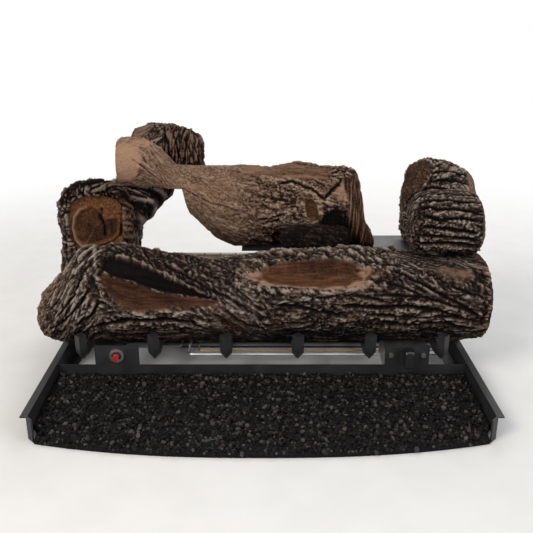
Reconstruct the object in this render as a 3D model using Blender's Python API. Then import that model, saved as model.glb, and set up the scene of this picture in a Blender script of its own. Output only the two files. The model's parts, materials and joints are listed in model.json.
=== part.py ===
# Gas log set: a steel base and grate, two gas burners with their valve and pilot, and the
# ceramic logs and lava rock that hide them. Metres, +Z up, X to the right, Y to the back.
# The origin lies on the floor, under the middle of the cross channel of the base.

import math

import bmesh
import bpy
import numpy as np
from mathutils import Vector

for old in list(bpy.data.objects):
    bpy.data.objects.remove(old, do_unlink=True)

# Clearance between pieces that touch, and how far a cutter reaches past what it cuts
gap = 0.0003
overrun = 0.002

# Base: two side rails, a front panel, a rear panel and a cross channel, in folded sheet
sheet = 0.0015
base_width = 0.560
base_height = 0.030
rail_length = 0.394
rail_top_flange = 0.0075
rail_bottom_flange = 0.0135
rail_tip = 0.008
front_panel_height = 0.027
front_panel_foot = 0.014
rear_panel_height = 0.027
panel_setback = 0.131
channel_width = 0.020
channel_leg = 0.009
rear_panel_inset = 0.004

# Grate: square bars laid on edge, bent up into fingers at the front, on two flat cross bars
bar_size = 0.011
bar_count = 6
bar_inset = 0.0375
bar_bay = 0.097
bar_bend = 0.014
finger_height = 0.075
finger_depth = -0.125
grate_depth = 0.250
cross_bar_width = 0.020
cross_bar_thickness = 0.004
cross_bar_front = 0.085
cross_bar_rear = 0.235
cross_bar_overhang = 0.006

# Tabs of the front panel that carry the gas control and the igniter
control_inset = 0.083
igniter_inset = 0.083
control_height = 0.042
tab_width = 0.060
tab_height = 0.056
stem_hole_radius = 0.0075
neck_radius = 0.0062
screw_spacing = 0.044
screw_radius = 0.002
screw_head_radius = 0.0036
screw_head = 0.0022
screw_length = 0.012

# Gas valve, with the stem, the collar and the knob that push in and turn
valve_width = 0.060
valve_depth = 0.050
valve_height = 0.028
valve_top_clearance = 0.001
valve_bore = 0.013
stem_radius = 0.004
stem_flat_share = 0.72
push_travel = 0.004
collar_radius = 0.0065
collar_thickness = 0.002
knob_radius = 0.013
knob_depth = 0.0135
knob_grip = 0.008
knob_grip_share = 0.42
knob_socket = 0.010

# Igniter: a piezo barrel behind its tab, a neck, a nut and a push button
igniter_radius = 0.0078
igniter_length = 0.042
nut_radius = 0.0100
nut_thickness = 0.0028
button_radius = 0.0045
button_length = 0.018
button_travel = 0.006
button_stand = 0.0075
button_bore_clearance = 0.0005

# Burner tubes, closed at their left ends
burner_radius = 0.011
burner_wall = 0.0012
front_burner_height = 0.066
front_burner_depth = 0.128
front_burner_left_inset = 0.110
front_burner_right_inset = 0.105
rear_burner_height = 0.100
rear_burner_depth = 0.232
rear_burner_left_inset = 0.120
rear_burner_right_inset = 0.130
port_width = 0.0016
port_length = 0.010
port_pitch = 0.025
crossover_radius = 0.005
crossover_inset = 0.015
bracket_thickness = 0.002
bracket_inset = 0.041
bracket_foot = 0.016
bracket_web = 0.010
cradle_wall = 0.005
cradle_drop = 0.004
pilot_step = 0.062

# Air mixer and gas jet at the right end of the front burner
mixer_length = 0.050
mixer_neck_share = 0.8
mixer_window = 0.016
mixer_window_height = 0.008
jet_radius = 0.0035
jet_length = 0.008
jet_hex_radius = 0.0065
jet_hex_length = 0.012
jet_plate_rise = 0.010
jet_plate_foot = 0.012

# Gas line: inlet, regulator and tubes
inlet_depth = 0.176
inlet_radius = 0.009
inlet_length = 0.020
inlet_hex_radius = 0.012
inlet_hex_length = 0.010
inlet_bore = 0.006
inlet_bore_depth = 0.014
regulator_inset = 0.075
regulator_radius = 0.026
regulator_rim = 0.003
regulator_height = 0.026
regulator_neck_share = 0.62
regulator_plate_width = 0.034
supply_radius = 0.004
supply_rise = 0.0108
supply_rise_start = 0.112
supply_rise_end = 0.098
supply_bend = 0.010
burner_tube_radius = 0.0035
burner_tube_height = 0.0262
burner_tube_inset = 0.018
burner_tube_bend = 0.010
burner_tube_outlet = 0.045

# Pilot: a bracket with the pilot burner, the flame sensor and the spark electrode
pilot_clearance = 0.005
pilot_shelf_height = 0.056
pilot_shelf_width = 0.044
pilot_shelf_reach = 0.022
pilot_tab = 0.014
pilot_radius = 0.0050
pilot_length = 0.022
pilot_stub = 0.008
sensor_radius = 0.0022
sensor_length = 0.036
electrode_radius = 0.0030
electrode_length = 0.034
electrode_tip_radius = 0.0010
electrode_tip = 0.006
line_height = 0.026
line_radius = 0.0020
sensor_line_radius = 0.0012
igniter_line_radius = 0.0015
line_bend = 0.006
pilot_line_depth = 0.040
sensor_line_depth = 0.051
igniter_line_depth = 0.064

# Rear shelf that carries the back logs, and its two legs
shelf_left_inset = 0.250
shelf_right_overhang = 0.045
shelf_front = 0.143
shelf_rear = 0.215
shelf_height = 0.146
leg_thickness = 0.0025
leg_front = 0.150
leg_rear = 0.205
shelf_lip = 0.006

# Logs: each one has a length, a depth, a height and the place of its middle
front_log_length = 0.614
front_log_depth = 0.114
front_log_height = 0.127
front_log_middle = 0.0
front_log_back = 0.055
front_log_rear_limit = 0.112
front_log_ledge_height = 0.158
front_log_ledge_inset = 0.094
left_log_width = 0.106
left_log_overhang = 0.011
left_log_front = 0.0990
left_log_length = 0.146
left_log_height = 0.208
left_log_seat_height = 0.2435
left_log_seat_front = 0.115
left_log_corbel = 0.061
middle_log_left_inset = 0.074
middle_log_right_inset = 0.112
middle_log_depth = 0.104
middle_log_height = 0.118
middle_log_back = 0.185
middle_log_left_back = 0.152
middle_log_left_radius = 0.034
upper_left_log_inset = 0.080
upper_left_log_length = 0.110
upper_left_log_depth = 0.072
upper_left_log_height = 0.0795
upper_left_log_front = 0.1845
right_log_inset = 0.072
right_log_length = 0.098
right_log_depth = 0.098
right_log_height = 0.088
right_log_back = 0.0995
upper_right_log_inset = 0.067
upper_right_log_length = 0.104
upper_right_log_depth = 0.080
upper_right_log_height = 0.126
stub_inset = 0.252
stub_length = 0.098
stub_depth = 0.028
stub_height = 0.041
stub_back = 0.1325

# Main furrows and ridges of the front log: half width and depth or height
furrow_half_width = 0.0085
furrow_depth = 0.0046
ridge_half_width = 0.0085
ridge_height = 0.0034

# Lava rock bed in front of the grate
rock_bulge = 0.028
rock_lap = 0.003
rock_thickness = 0.013
rock_edge = 0.004
rock_bump = 0.0030

# How finely round shapes are divided
round_sides = 16
small_sides = 10
bend_steps = 4

# Places that follow from the sizes above
rail_x = base_width / 2
control_place = rail_x - control_inset
igniter_place = igniter_inset - rail_x
regulator_place = rail_x - regulator_inset
burner_tube_place = rail_x - burner_tube_inset
front_burner_left = front_burner_left_inset - rail_x
front_burner_right = rail_x - front_burner_right_inset
rear_burner_left = rear_burner_left_inset - rail_x
rear_burner_right = rail_x - rear_burner_right_inset
cross_bar_length = base_width + 2 * cross_bar_overhang
shelf_left = shelf_left_inset - rail_x
shelf_right = rail_x + shelf_right_overhang
front_log_ledge_left = rail_x - front_log_ledge_inset
left_log_left = -rail_x - left_log_overhang
middle_log_left = middle_log_left_inset - rail_x
middle_log_right = rail_x - middle_log_right_inset
upper_left_log_left = upper_left_log_inset - rail_x
right_log_left = rail_x - right_log_inset
upper_right_log_left = rail_x - upper_right_log_inset
stub_left = rail_x - stub_inset
rail_front = finger_depth - panel_setback
rail_rear = rail_front + rail_length
bar_diagonal = bar_size * math.sqrt(2)
cross_bar_z = base_height + gap
cross_bar_top = cross_bar_z + cross_bar_thickness
bar_z = cross_bar_top + gap + bar_diagonal / 2
grate_top = bar_z + bar_diagonal / 2
end_bar = rail_x - bar_inset
inner_bar = end_bar - bar_bay
inner_pitch = 2 * inner_bar / (bar_count - 3)
inner_bars = [index * inner_pitch - inner_bar for index in range(bar_count - 2)]
bar_places = [-end_bar, *inner_bars, end_bar]
bar_rear = finger_depth + grate_depth
cross_bar_front_y = finger_depth + cross_bar_front
cross_bar_rear_y = finger_depth + cross_bar_rear
panel_y = finger_depth + bar_diagonal / 2 - sheet
valve_y = panel_y + sheet + gap
valve_top = grate_top - valve_top_clearance
regulator_low = sheet + gap
gas_line_z = regulator_low + regulator_height / 2
front_burner_y = finger_depth + front_burner_depth
rear_burner_y = finger_depth + rear_burner_depth
shelf_top = shelf_height
log_floor = grate_top + gap
unit_circle = 2 * math.pi


# Steel, brass and the rest: a colour, a roughness and a metallic value for each piece
def finish(name, colour, roughness, metallic):
    made = bpy.data.materials.new(name)
    made.use_nodes = True
    shader = made.node_tree.nodes["Principled BSDF"]
    shader.inputs["Base Color"].default_value = (*colour, 1)
    shader.inputs["Roughness"].default_value = roughness
    shader.inputs["Metallic"].default_value = metallic
    return made


black_steel = ((0.022, 0.022, 0.024), 0.55, 0.6)
bare_steel = ((0.42, 0.41, 0.40), 0.4, 1.0)
brass = ((0.60, 0.42, 0.16), 0.35, 1.0)
aluminium = ((0.62, 0.62, 0.63), 0.4, 1.0)
black_plastic = ((0.012, 0.012, 0.013), 0.4, 0.0)
red_plastic = ((0.35, 0.02, 0.015), 0.4, 0.0)
white_ceramic = ((0.75, 0.73, 0.68), 0.4, 0.0)
bark_ceramic = ((0.13, 0.10, 0.08), 0.95, 0.0)
wood_ceramic = ((0.20, 0.12, 0.07), 0.95, 0.0)
lava = ((0.020, 0.019, 0.019), 0.95, 0.0)


def place(name, data, look, parent=None, at=(0, 0, 0)):
    piece = bpy.data.objects.new(name, data)
    bpy.context.collection.objects.link(piece)
    piece.data.materials.append(finish(name, *look))
    piece.location = at
    if parent is not None:
        piece.parent = parent
    return piece


def axis_empty(name, at):
    empty = bpy.data.objects.new(name, None)
    empty.location = at
    bpy.context.collection.objects.link(empty)
    return empty


# A closed surface from points and faces, with its faces turned outwards
def shell(name, points, faces, smooth=False):
    mesh = bpy.data.meshes.new(name)
    mesh.from_pydata([tuple(point) for point in points], [], faces)
    surface = bmesh.new()
    surface.from_mesh(mesh)
    bmesh.ops.recalc_face_normals(surface, faces=surface.faces)
    surface.to_mesh(mesh)
    surface.free()
    if smooth:
        mesh.shade_smooth()
        mesh.set_sharp_from_angle(angle=math.radians(40))
    return mesh


# An outline pushed along one axis from start to end. The outline's two coordinates are
# the other two axes, in their X, Y, Z order.
def prism(name, outline, axis, start, end):
    def point(pair, along):
        values = list(pair)
        values.insert("XYZ".index(axis), along)
        return values

    count = len(outline)
    points = [point(pair, start) for pair in outline] + [point(pair, end) for pair in outline]
    faces = [list(range(count)), list(range(2 * count - 1, count - 1, -1))]
    for index in range(count):
        following = (index + 1) % count
        faces.append([index, following, following + count, index + count])
    return shell(name, points, faces)


def rectangle(left, bottom, right, top):
    return [(left, bottom), (right, bottom), (right, top), (left, top)]


def block(name, low, high):
    return prism(name, rectangle(low[0], low[1], high[0], high[1]), "Z", low[2], high[2])


# A profile of (radius, place along the axis) turned about an axis through centre. A point
# on the axis closes that end, and a profile that never meets the axis makes a ring.
def turned(name, profile, axis, centre, sides=round_sides, turn=0):
    along = "XYZ".index(axis)
    across = [index for index in range(3) if index != along]
    points, rings = [], []
    for radius, place_along in profile:
        ring = []
        for side in range(sides if radius > 0 else 1):
            angle = turn + unit_circle * side / sides
            point = list(centre)
            point[along] += place_along
            point[across[0]] += radius * math.cos(angle)
            point[across[1]] += radius * math.sin(angle)
            ring.append(len(points))
            points.append(point)
        rings.append(ring)
    faces = []
    closes = profile[0][0] > 0 and profile[-1][0] > 0
    pairs = list(zip(rings, rings[1:]))
    if closes:
        pairs.append((rings[-1], rings[0]))
    for first, second in pairs:
        for side in range(sides):
            following = (side + 1) % sides
            corners = [
                first[side % len(first)],
                first[following % len(first)],
                second[following % len(second)],
                second[side % len(second)],
            ]
            corners = list(dict.fromkeys(corners))
            if len(corners) > 2:
                faces.append(corners)
    return shell(name, points, faces, smooth=True)


# A helper that only cuts or adds to another piece
def helper(name, mesh):
    tool = bpy.data.objects.new(name, mesh)
    bpy.context.collection.objects.link(tool)
    tool.hide_render = True
    tool.display_type = "WIRE"
    return tool


def combine(piece, tool, operation):
    change = piece.modifiers.new(tool.name, "BOOLEAN")
    change.operation = operation
    change.object = tool
    return piece


def cut(piece, name, mesh):
    return combine(piece, helper(name, mesh), "DIFFERENCE")


def add(piece, name, mesh):
    return combine(piece, helper(name, mesh), "UNION")


# Several closed shells as one mesh, for a cutter with many bites
def gathered(name, meshes):
    points, faces = [], []
    for mesh in meshes:
        start = len(points)
        points += [tuple(vertex.co) for vertex in mesh.vertices]
        faces += [[start + index for index in face.vertices] for face in mesh.polygons]
    return shell(name, points, faces)


# A route through points with each corner rounded to one bend radius
def rounded_route(corners, bend):
    corners = [Vector(corner) for corner in corners]
    route = [corners[0]]
    for before, corner, after in zip(corners, corners[1:], corners[2:]):
        incoming = (before - corner).normalized()
        outgoing = (after - corner).normalized()
        half_angle = incoming.angle(outgoing) / 2
        reach = bend / math.tan(half_angle)
        centre = corner + (incoming + outgoing).normalized() * (bend / math.sin(half_angle))
        start = corner + incoming * reach - centre
        end = corner + outgoing * reach - centre
        for step in range(bend_steps + 1):
            share = step / bend_steps
            turn = start.angle(end)
            blend = math.sin((1 - share) * turn) / math.sin(turn)
            other = math.sin(share * turn) / math.sin(turn)
            route.append(centre + start * blend + end * other)
    return route + [corners[-1]]


def tube(name, corners, radius, bend, look, parent=None, resolution=1):
    curve = bpy.data.curves.new(name, "CURVE")
    curve.dimensions = "3D"
    curve.bevel_depth = radius
    curve.bevel_resolution = resolution
    curve.use_fill_caps = True
    route = rounded_route(corners, bend)
    line = curve.splines.new("POLY")
    line.points.add(len(route) - 1)
    for point, spot in zip(line.points, route):
        point.co = (*spot, 1)
    return place(name, curve, look, parent)


# A pan-head screw along Y, its head at the front
def screw(name, centre):
    shank = screw_head + screw_length
    profile = [
        (0, 0),
        (screw_head_radius, 0),
        (screw_head_radius, screw_head),
        (screw_radius - gap, screw_head),
        (screw_radius - gap, shank),
        (0, shank),
    ]
    return place(name, turned(name, profile, "Y", centre, small_sides), bare_steel)


# Side rail: the wall turns in at its front tip. The upper flange points out, and the lower
# one in, behind the front panel.
def side_rail(name, side):
    outer, inner = rail_x, rail_x - sheet
    wall = [
        (outer, rail_rear),
        (outer, rail_front),
        (outer - rail_tip, rail_front - rail_tip),
        (outer - rail_tip - sheet, rail_front - rail_tip + sheet),
        (inner, rail_front + sheet),
        (inner, rail_rear),
    ]
    flange = [
        (outer - sheet / 2, rail_rear),
        (outer - sheet / 2, rail_front),
        (outer + rail_top_flange, rail_front),
        (outer + rail_top_flange, rail_rear),
    ]
    foot_start = panel_y + sheet + gap
    foot = rectangle(inner - rail_bottom_flange, foot_start, inner + sheet / 2, rail_rear)
    mirrored = lambda outline: [(side * x, y) for x, y in outline]
    rail = place(name, prism(name, mirrored(wall), "Z", 0, base_height), black_steel)
    top = prism(name + "_top", mirrored(flange), "Z", base_height - sheet, base_height)
    add(rail, name + "_top", top)
    add(rail, name + "_foot", prism(name + "_foot", mirrored(foot), "Z", 0, sheet))
    return rail


left_side_rail = side_rail("left_side_rail", -1)
right_side_rail = side_rail("right_side_rail", 1)

# The gas inlet passes through the right rail
inlet_y = finger_depth + inlet_depth
inlet_hole = turned(
    "inlet_hole",
    [(0, -overrun), (inlet_radius + gap, -overrun), (inlet_radius + gap, sheet + overrun), (0, sheet + overrun)],
    "X",
    (rail_x - sheet, inlet_y, gas_line_z),
)
cut(right_side_rail, "inlet_hole", inlet_hole)

# Front panel: a strip with two raised tabs and a foot that points back
panel_half = rail_x - sheet - gap
tab_half = tab_width / 2
panel_outline = [
    (-panel_half, 0),
    (panel_half, 0),
    (panel_half, front_panel_height),
    (control_place + tab_half, front_panel_height),
    (control_place + tab_half, tab_height),
    (control_place - tab_half, tab_height),
    (control_place - tab_half, front_panel_height),
    (igniter_place + tab_half, front_panel_height),
    (igniter_place + tab_half, tab_height),
    (igniter_place - tab_half, tab_height),
    (igniter_place - tab_half, front_panel_height),
    (-panel_half, front_panel_height),
]
front_panel = place(
    "front_panel", prism("front_panel", panel_outline, "Y", panel_y, panel_y + sheet), black_steel
)
foot_half = rail_x - sheet - rail_bottom_flange - gap
add(
    front_panel,
    "front_panel_foot",
    block(
        "front_panel_foot",
        (-foot_half, panel_y + sheet / 2, 0),
        (foot_half, panel_y + front_panel_foot, sheet),
    ),
)


def panel_hole(name, x, radius, sides=round_sides):
    profile = [(0, -overrun), (radius, -overrun), (radius, sheet + overrun), (0, sheet + overrun)]
    return turned(name, profile, "Y", (x, panel_y, control_height), sides)


screw_places = [control_place - screw_spacing / 2, control_place + screw_spacing / 2]
holes = [
    panel_hole("stem_hole", control_place, stem_hole_radius),
    panel_hole("neck_hole", igniter_place, neck_radius + gap),
] + [panel_hole("screw_hole", x, screw_radius, small_sides) for x in screw_places]
cut(front_panel, "front_panel_holes", gathered("front_panel_holes", holes))

# Rear panel between the rails, with a foot that points forward
rear_y = rail_rear - rear_panel_inset
rear_panel = place(
    "rear_panel",
    block("rear_panel", (-panel_half, rear_y - sheet, sheet + gap), (panel_half, rear_y, rear_panel_height)),
    black_steel,
)

# Cross channel on the floor under the burners: an L section whose web stands at its back
cross_channel = place(
    "cross_channel",
    block("cross_channel", (-foot_half, -channel_width / 2, 0), (foot_half, channel_width / 2, sheet)),
    black_steel,
)
add(
    cross_channel,
    "cross_channel_leg",
    block(
        "cross_channel_leg",
        (-foot_half, channel_width / 2 - sheet, sheet / 2),
        (foot_half, channel_width / 2, channel_leg),
    ),
)


# Grate cross bars lie on the rails, and the grate bars lie on them
def cross_bar(name, y):
    half_length, half_width = cross_bar_length / 2, cross_bar_width / 2
    return place(
        name,
        block(name, (-half_length, y - half_width, cross_bar_z), (half_length, y + half_width, cross_bar_top)),
        black_steel,
    )


cross_bar("grate_cross_front", cross_bar_front_y)
cross_bar("grate_cross_rear", cross_bar_rear_y)


# Grate bar: a square section on edge, swept back from the finger's top round one bend
def grate_bar(name, x):
    half = bar_diagonal / 2
    centre = (finger_depth + bar_bend, bar_z + bar_bend)
    path = [(finger_depth, finger_height, 0.0)]
    for step in range(bend_steps + 1):
        angle = math.pi / 2 * step / bend_steps
        path.append((centre[0] - bar_bend * math.cos(angle), centre[1] - bar_bend * math.sin(angle), angle))
    path.append((bar_rear, bar_z, math.pi / 2))
    points = []
    for y, z, angle in path:
        out_y, out_z = -half * math.cos(angle), -half * math.sin(angle)
        points += [
            (x, y + out_y, z + out_z),
            (x + half, y, z),
            (x, y - out_y, z - out_z),
            (x - half, y, z),
        ]
    faces = [[0, 1, 2, 3], [len(points) - 1 - index for index in range(4)]]
    for ring in range(len(path) - 1):
        for corner in range(4):
            following = (corner + 1) % 4
            faces.append([ring * 4 + corner, ring * 4 + following, ring * 4 + 4 + following, ring * 4 + 4 + corner])
    return place(name, shell(name, points, faces), black_steel)


for number, bar_place in enumerate(bar_places, start=1):
    grate_bar(f"grate_bar_{number}", bar_place)


# Burner: a tube closed at its left end, with a row of narrow ports along its top
def burner(name, left, right, y, z):
    inner = burner_radius - burner_wall
    profile = [
        (0, 0),
        (burner_radius, 0),
        (burner_radius, right - left),
        (inner, right - left),
        (inner, burner_wall),
        (0, burner_wall),
    ]
    pipe = place(name, turned(name, profile, "X", (left, y, z)), bare_steel)
    count = int((right - left) / port_pitch)
    middle = (left + right) / 2
    slots = []
    for index in range(count):
        x = middle + (index - (count - 1) / 2) * port_pitch
        low = (x - port_width / 2, y - port_length / 2, z + inner / 2)
        high = (x + port_width / 2, y + port_length / 2, z + burner_radius + overrun)
        slots.append(block(name + "_port", low, high))
    return cut(pipe, name + "_ports", gathered(name + "_ports", slots))


burner("front_burner", front_burner_left, front_burner_right, front_burner_y, front_burner_height)
burner("rear_burner", rear_burner_left, rear_burner_right, rear_burner_y, rear_burner_height)

# Crossover tube from the back of the front burner up to the front of the rear burner
crossover_x = rear_burner_left + crossover_inset
span = Vector((0, rear_burner_y - front_burner_y, rear_burner_height - front_burner_height))
step_off = span.normalized() * (burner_radius + gap)
crossover_start = Vector((crossover_x, front_burner_y, front_burner_height)) + step_off
crossover_end = Vector((crossover_x, rear_burner_y, rear_burner_height)) - step_off
crossover = bpy.data.curves.new("crossover_tube", "CURVE")
crossover.dimensions = "3D"
crossover.bevel_depth = crossover_radius
crossover.bevel_resolution = 2
crossover.use_fill_caps = True
crossover_line = crossover.splines.new("POLY")
crossover_line.points.add(1)
for end, spot in zip(crossover_line.points, (crossover_start, crossover_end)):
    end.co = (*spot, 1)
place("crossover_tube", crossover, bare_steel)


# Burner bracket: one plate on edge that stands on both cross bars and cradles both tubes
def cradle(y, z, first_angle, last_angle):
    radius = burner_radius + gap
    arc = []
    for step in range(bend_steps * 2 + 1):
        angle = math.radians(first_angle + (last_angle - first_angle) * step / (bend_steps * 2))
        arc.append((y + radius * math.cos(angle), z + radius * math.sin(angle)))
    return arc


def burner_bracket(name, x):
    foot = cross_bar_top + gap
    web = foot + bracket_web
    wall = burner_radius + gap + cradle_wall
    front_foot = cross_bar_front_y - bracket_foot / 2
    rear_foot = cross_bar_rear_y + bracket_foot / 2
    outline = [
        (front_foot, foot),
        (rear_foot, foot),
        (rear_foot, web),
        (rear_burner_y + wall, web),
        (rear_burner_y + wall, rear_burner_height - cradle_drop),
        *cradle(rear_burner_y, rear_burner_height, -20, -160),
        (rear_burner_y - wall, rear_burner_height - cradle_drop),
        (rear_burner_y - wall, web),
        (front_burner_y + pilot_step / 2 + wall, web),
        (front_burner_y + wall, front_burner_height - cradle_drop),
        *cradle(front_burner_y, front_burner_height, -20, -160),
        (front_burner_y - wall, front_burner_height - cradle_drop),
        (front_burner_y - wall, web),
        (front_foot, web),
    ]
    return place(name, prism(name, outline, "X", x, x + bracket_thickness), black_steel)


left_bracket_x = front_burner_left + bracket_inset
right_bracket_x = rear_burner_right - bracket_inset
burner_bracket("burner_bracket_left", left_bracket_x)
burner_bracket("burner_bracket_right", right_bracket_x)

# Air mixer: a flared sleeve with two air windows, between the burner and the jet's plate
mixer_left = front_burner_right + gap
mixer_right = mixer_left + mixer_length
mixer_neck = burner_radius * mixer_neck_share
mixer_bore = mixer_neck - burner_wall
mixer_profile = [
    (burner_radius, 0),
    (mixer_neck, mixer_length / 4),
    (mixer_neck, mixer_length / 2),
    (burner_radius, mixer_length * 3 / 4),
    (burner_radius, mixer_length),
    (burner_radius - burner_wall, mixer_length),
    (burner_radius - burner_wall, mixer_length * 3 / 4),
    (mixer_bore, mixer_length / 2),
    (mixer_bore, mixer_length / 4),
    (burner_radius - burner_wall, 0),
]
air_mixer = place(
    "air_mixer",
    turned("air_mixer", mixer_profile, "X", (mixer_left, front_burner_y, front_burner_height)),
    bare_steel,
)
window_left = mixer_right - mixer_length / 8 - mixer_window
cut(
    air_mixer,
    "air_windows",
    block(
        "air_windows",
        (window_left, front_burner_y - burner_radius - overrun, front_burner_height - mixer_window_height / 2),
        (window_left + mixer_window, front_burner_y + burner_radius + overrun, front_burner_height + mixer_window_height / 2),
    ),
)

# Jet plate: stands on the cross channel, with a foot, and holds the brass gas jet
jet_plate_left = mixer_right + gap
jet_plate_right = jet_plate_left + bracket_thickness
jet_y = front_burner_y
jet_plate = place(
    "jet_plate",
    block(
        "jet_plate",
        (jet_plate_left, -channel_width / 2, sheet + gap),
        (jet_plate_right, channel_width / 2 - sheet - gap, front_burner_height + jet_plate_rise),
    ),
    black_steel,
)
add(
    jet_plate,
    "jet_plate_foot",
    block(
        "jet_plate_foot",
        (jet_plate_left - jet_plate_foot, -channel_width / 2, sheet + gap),
        (jet_plate_left + bracket_thickness / 2, channel_width / 2 - sheet - gap, sheet + gap + bracket_thickness),
    ),
)
jet_hole = [
    (0, -overrun),
    (jet_radius + gap, -overrun),
    (jet_radius + gap, bracket_thickness + overrun),
    (0, bracket_thickness + overrun),
]
cut(jet_plate, "jet_hole", turned("jet_hole", jet_hole, "X", (jet_plate_left, jet_y, front_burner_height)))
hex_start = jet_length + gap
jet_profile = [
    (0, 0),
    (jet_radius, 0),
    (jet_radius, hex_start),
    (jet_hex_radius, hex_start),
    (jet_hex_radius, hex_start + jet_hex_length),
    (0, hex_start + jet_hex_length),
]
jet_left = jet_plate_right - jet_length
gas_jet = place(
    "gas_jet",
    turned("gas_jet", jet_profile, "X", (jet_left, jet_y, front_burner_height), small_sides),
    brass,
)
jet_right = jet_left + hex_start + jet_hex_length

# Gas valve: a block behind the control tab, with a bore for the stem and two screw holes
valve_rear = valve_y + valve_depth
gas_valve = place(
    "gas_valve",
    block(
        "gas_valve",
        (control_place - valve_width / 2, valve_y, valve_top - valve_height),
        (control_place + valve_width / 2, valve_rear, valve_top),
    ),
    aluminium,
)
valve_bores = [
    turned(
        "stem_bore",
        [(0, -overrun), (stem_radius + gap, -overrun), (stem_radius + gap, valve_bore), (0, valve_bore)],
        "Y",
        (control_place, valve_y, control_height),
    )
]
for x in screw_places:
    depth = screw_length
    valve_bores.append(
        turned(
            "valve_screw_bore",
            [(0, -overrun), (screw_radius, -overrun), (screw_radius, depth), (0, depth)],
            "Y",
            (x, valve_y, control_height),
            small_sides,
        )
    )
cut(gas_valve, "valve_bores", gathered("valve_bores", valve_bores))
for side_name, x in zip(("left", "right"), screw_places):
    screw(f"valve_screw_{side_name}", (x, panel_y - gap - screw_head, control_height))

# Knob, stem and collar on one axis. The collar slides, and the stem and knob also turn.
knob_back = panel_y - gap - push_travel - collar_thickness / 2
knob_front = knob_back - knob_depth
control_axis = axis_empty("control_axis", (control_place, knob_back, control_height))
stem_back = valve_y + valve_bore - push_travel - gap * 4
stem_profile = [
    (0, -knob_socket + gap),
    (stem_radius * stem_flat_share, -knob_socket + gap),
    (stem_radius * stem_flat_share, gap),
    (stem_radius, gap),
    (stem_radius, stem_back - knob_back),
    (0, stem_back - knob_back),
]
place(
    "valve_stem",
    turned("valve_stem", stem_profile, "Y", (0, 0, 0), small_sides),
    bare_steel,
    control_axis,
)
collar_profile = [
    (stem_radius + gap, gap),
    (collar_radius, gap),
    (collar_radius, gap + collar_thickness),
    (stem_radius + gap, gap + collar_thickness),
]
place("push_collar", turned("push_collar", collar_profile, "Y", (0, 0, 0)), bare_steel, control_axis)
knob_profile = [
    (0, -knob_depth),
    (knob_radius - knob_grip / 4, -knob_depth),
    (knob_radius, -knob_depth + knob_grip / 4),
    (knob_radius, 0),
    (stem_radius * stem_flat_share + gap, 0),
    (stem_radius * stem_flat_share + gap, -knob_socket),
    (0, -knob_socket),
]
control_knob = place(
    "control_knob",
    turned("control_knob", knob_profile, "Y", (0, 0, 0)),
    black_plastic,
    control_axis,
)
# Two bites leave a grip bar across the knob's face
grip_half = knob_radius * knob_grip_share
for side_name, side in (("left", -1), ("right", 1)):
    edges = sorted((side * grip_half, side * (knob_radius + overrun)))
    bite = block(
        f"knob_bite_{side_name}",
        (edges[0], -knob_depth - overrun, -knob_radius - overrun),
        (edges[1], -knob_depth + knob_grip, knob_radius + overrun),
    )
    tool = helper(f"knob_bite_{side_name}", bite)
    tool.parent = control_axis
    combine(control_knob, tool, "DIFFERENCE")

# Igniter: the barrel's neck passes through its tab and is held by a nut in front
neck_length = sheet + gap * 3 + nut_thickness + sheet
igniter_bore = button_length - button_stand + button_travel + button_bore_clearance
igniter_neck_front = valve_y - neck_length
barrel_profile = [
    (0, neck_length + igniter_length),
    (igniter_radius, neck_length + igniter_length),
    (igniter_radius, neck_length),
    (neck_radius, neck_length),
    (neck_radius, 0),
    (button_radius + gap, 0),
    (button_radius + gap, igniter_bore),
    (0, igniter_bore),
]
place(
    "igniter_barrel",
    turned("igniter_barrel", barrel_profile, "Y", (igniter_place, igniter_neck_front, control_height)),
    black_plastic,
)
nut_profile = [
    (neck_radius + gap, 0),
    (nut_radius, 0),
    (nut_radius, nut_thickness),
    (neck_radius + gap, nut_thickness),
]
nut_front = panel_y - gap - nut_thickness
place(
    "igniter_nut",
    turned("igniter_nut", nut_profile, "Y", (igniter_place, nut_front, control_height)),
    bare_steel,
)
button_front = igniter_neck_front - button_stand
button_axis = axis_empty("button_axis", (igniter_place, button_front, control_height))
button_profile = [(0, 0), (button_radius, 0), (button_radius, button_length), (0, button_length)]
place(
    "igniter_button",
    turned("igniter_button", button_profile, "Y", (0, 0, 0), small_sides),
    red_plastic,
    button_axis,
)

# Regulator: a round can on a plate from the cross channel, and the inlet from the right
place(
    "regulator_plate",
    block(
        "regulator_plate",
        (regulator_place - regulator_plate_width / 2, channel_width / 2 + gap, 0),
        (regulator_place + regulator_plate_width / 2, inlet_y + regulator_radius, sheet),
    ),
    black_steel,
)
neck = regulator_radius * regulator_neck_share
regulator_profile = [
    (0, 0),
    (neck, 0),
    (regulator_radius, regulator_height / 2 - regulator_rim),
    (regulator_radius, regulator_height / 2 + regulator_rim),
    (neck, regulator_height),
    (0, regulator_height),
]
regulator = place(
    "regulator",
    turned("regulator", regulator_profile, "Z", (regulator_place, inlet_y, regulator_low)),
    aluminium,
)
inlet_start = regulator_place + regulator_radius + gap
hex_left = rail_x - sheet - gap - inlet_hex_length
place(
    "inlet_pipe",
    turned(
        "inlet_pipe",
        [(0, 0), (supply_radius, 0), (supply_radius, hex_left - gap - inlet_start), (0, hex_left - gap - inlet_start)],
        "X",
        (inlet_start, inlet_y, gas_line_z),
        small_sides,
    ),
    bare_steel,
)
inlet_hex_right = rail_x - sheet - gap
inlet_end = rail_x + inlet_length
inlet_profile = [
    (0, hex_left),
    (inlet_hex_radius, hex_left),
    (inlet_hex_radius, inlet_hex_right),
    (inlet_radius, inlet_hex_right),
    (inlet_radius, inlet_end),
    (inlet_bore, inlet_end),
    (inlet_bore, inlet_end - inlet_bore_depth),
    (0, inlet_end - inlet_bore_depth),
]
place("inlet_fitting", turned("inlet_fitting", inlet_profile, "X", (0, inlet_y, gas_line_z)), brass)

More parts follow.
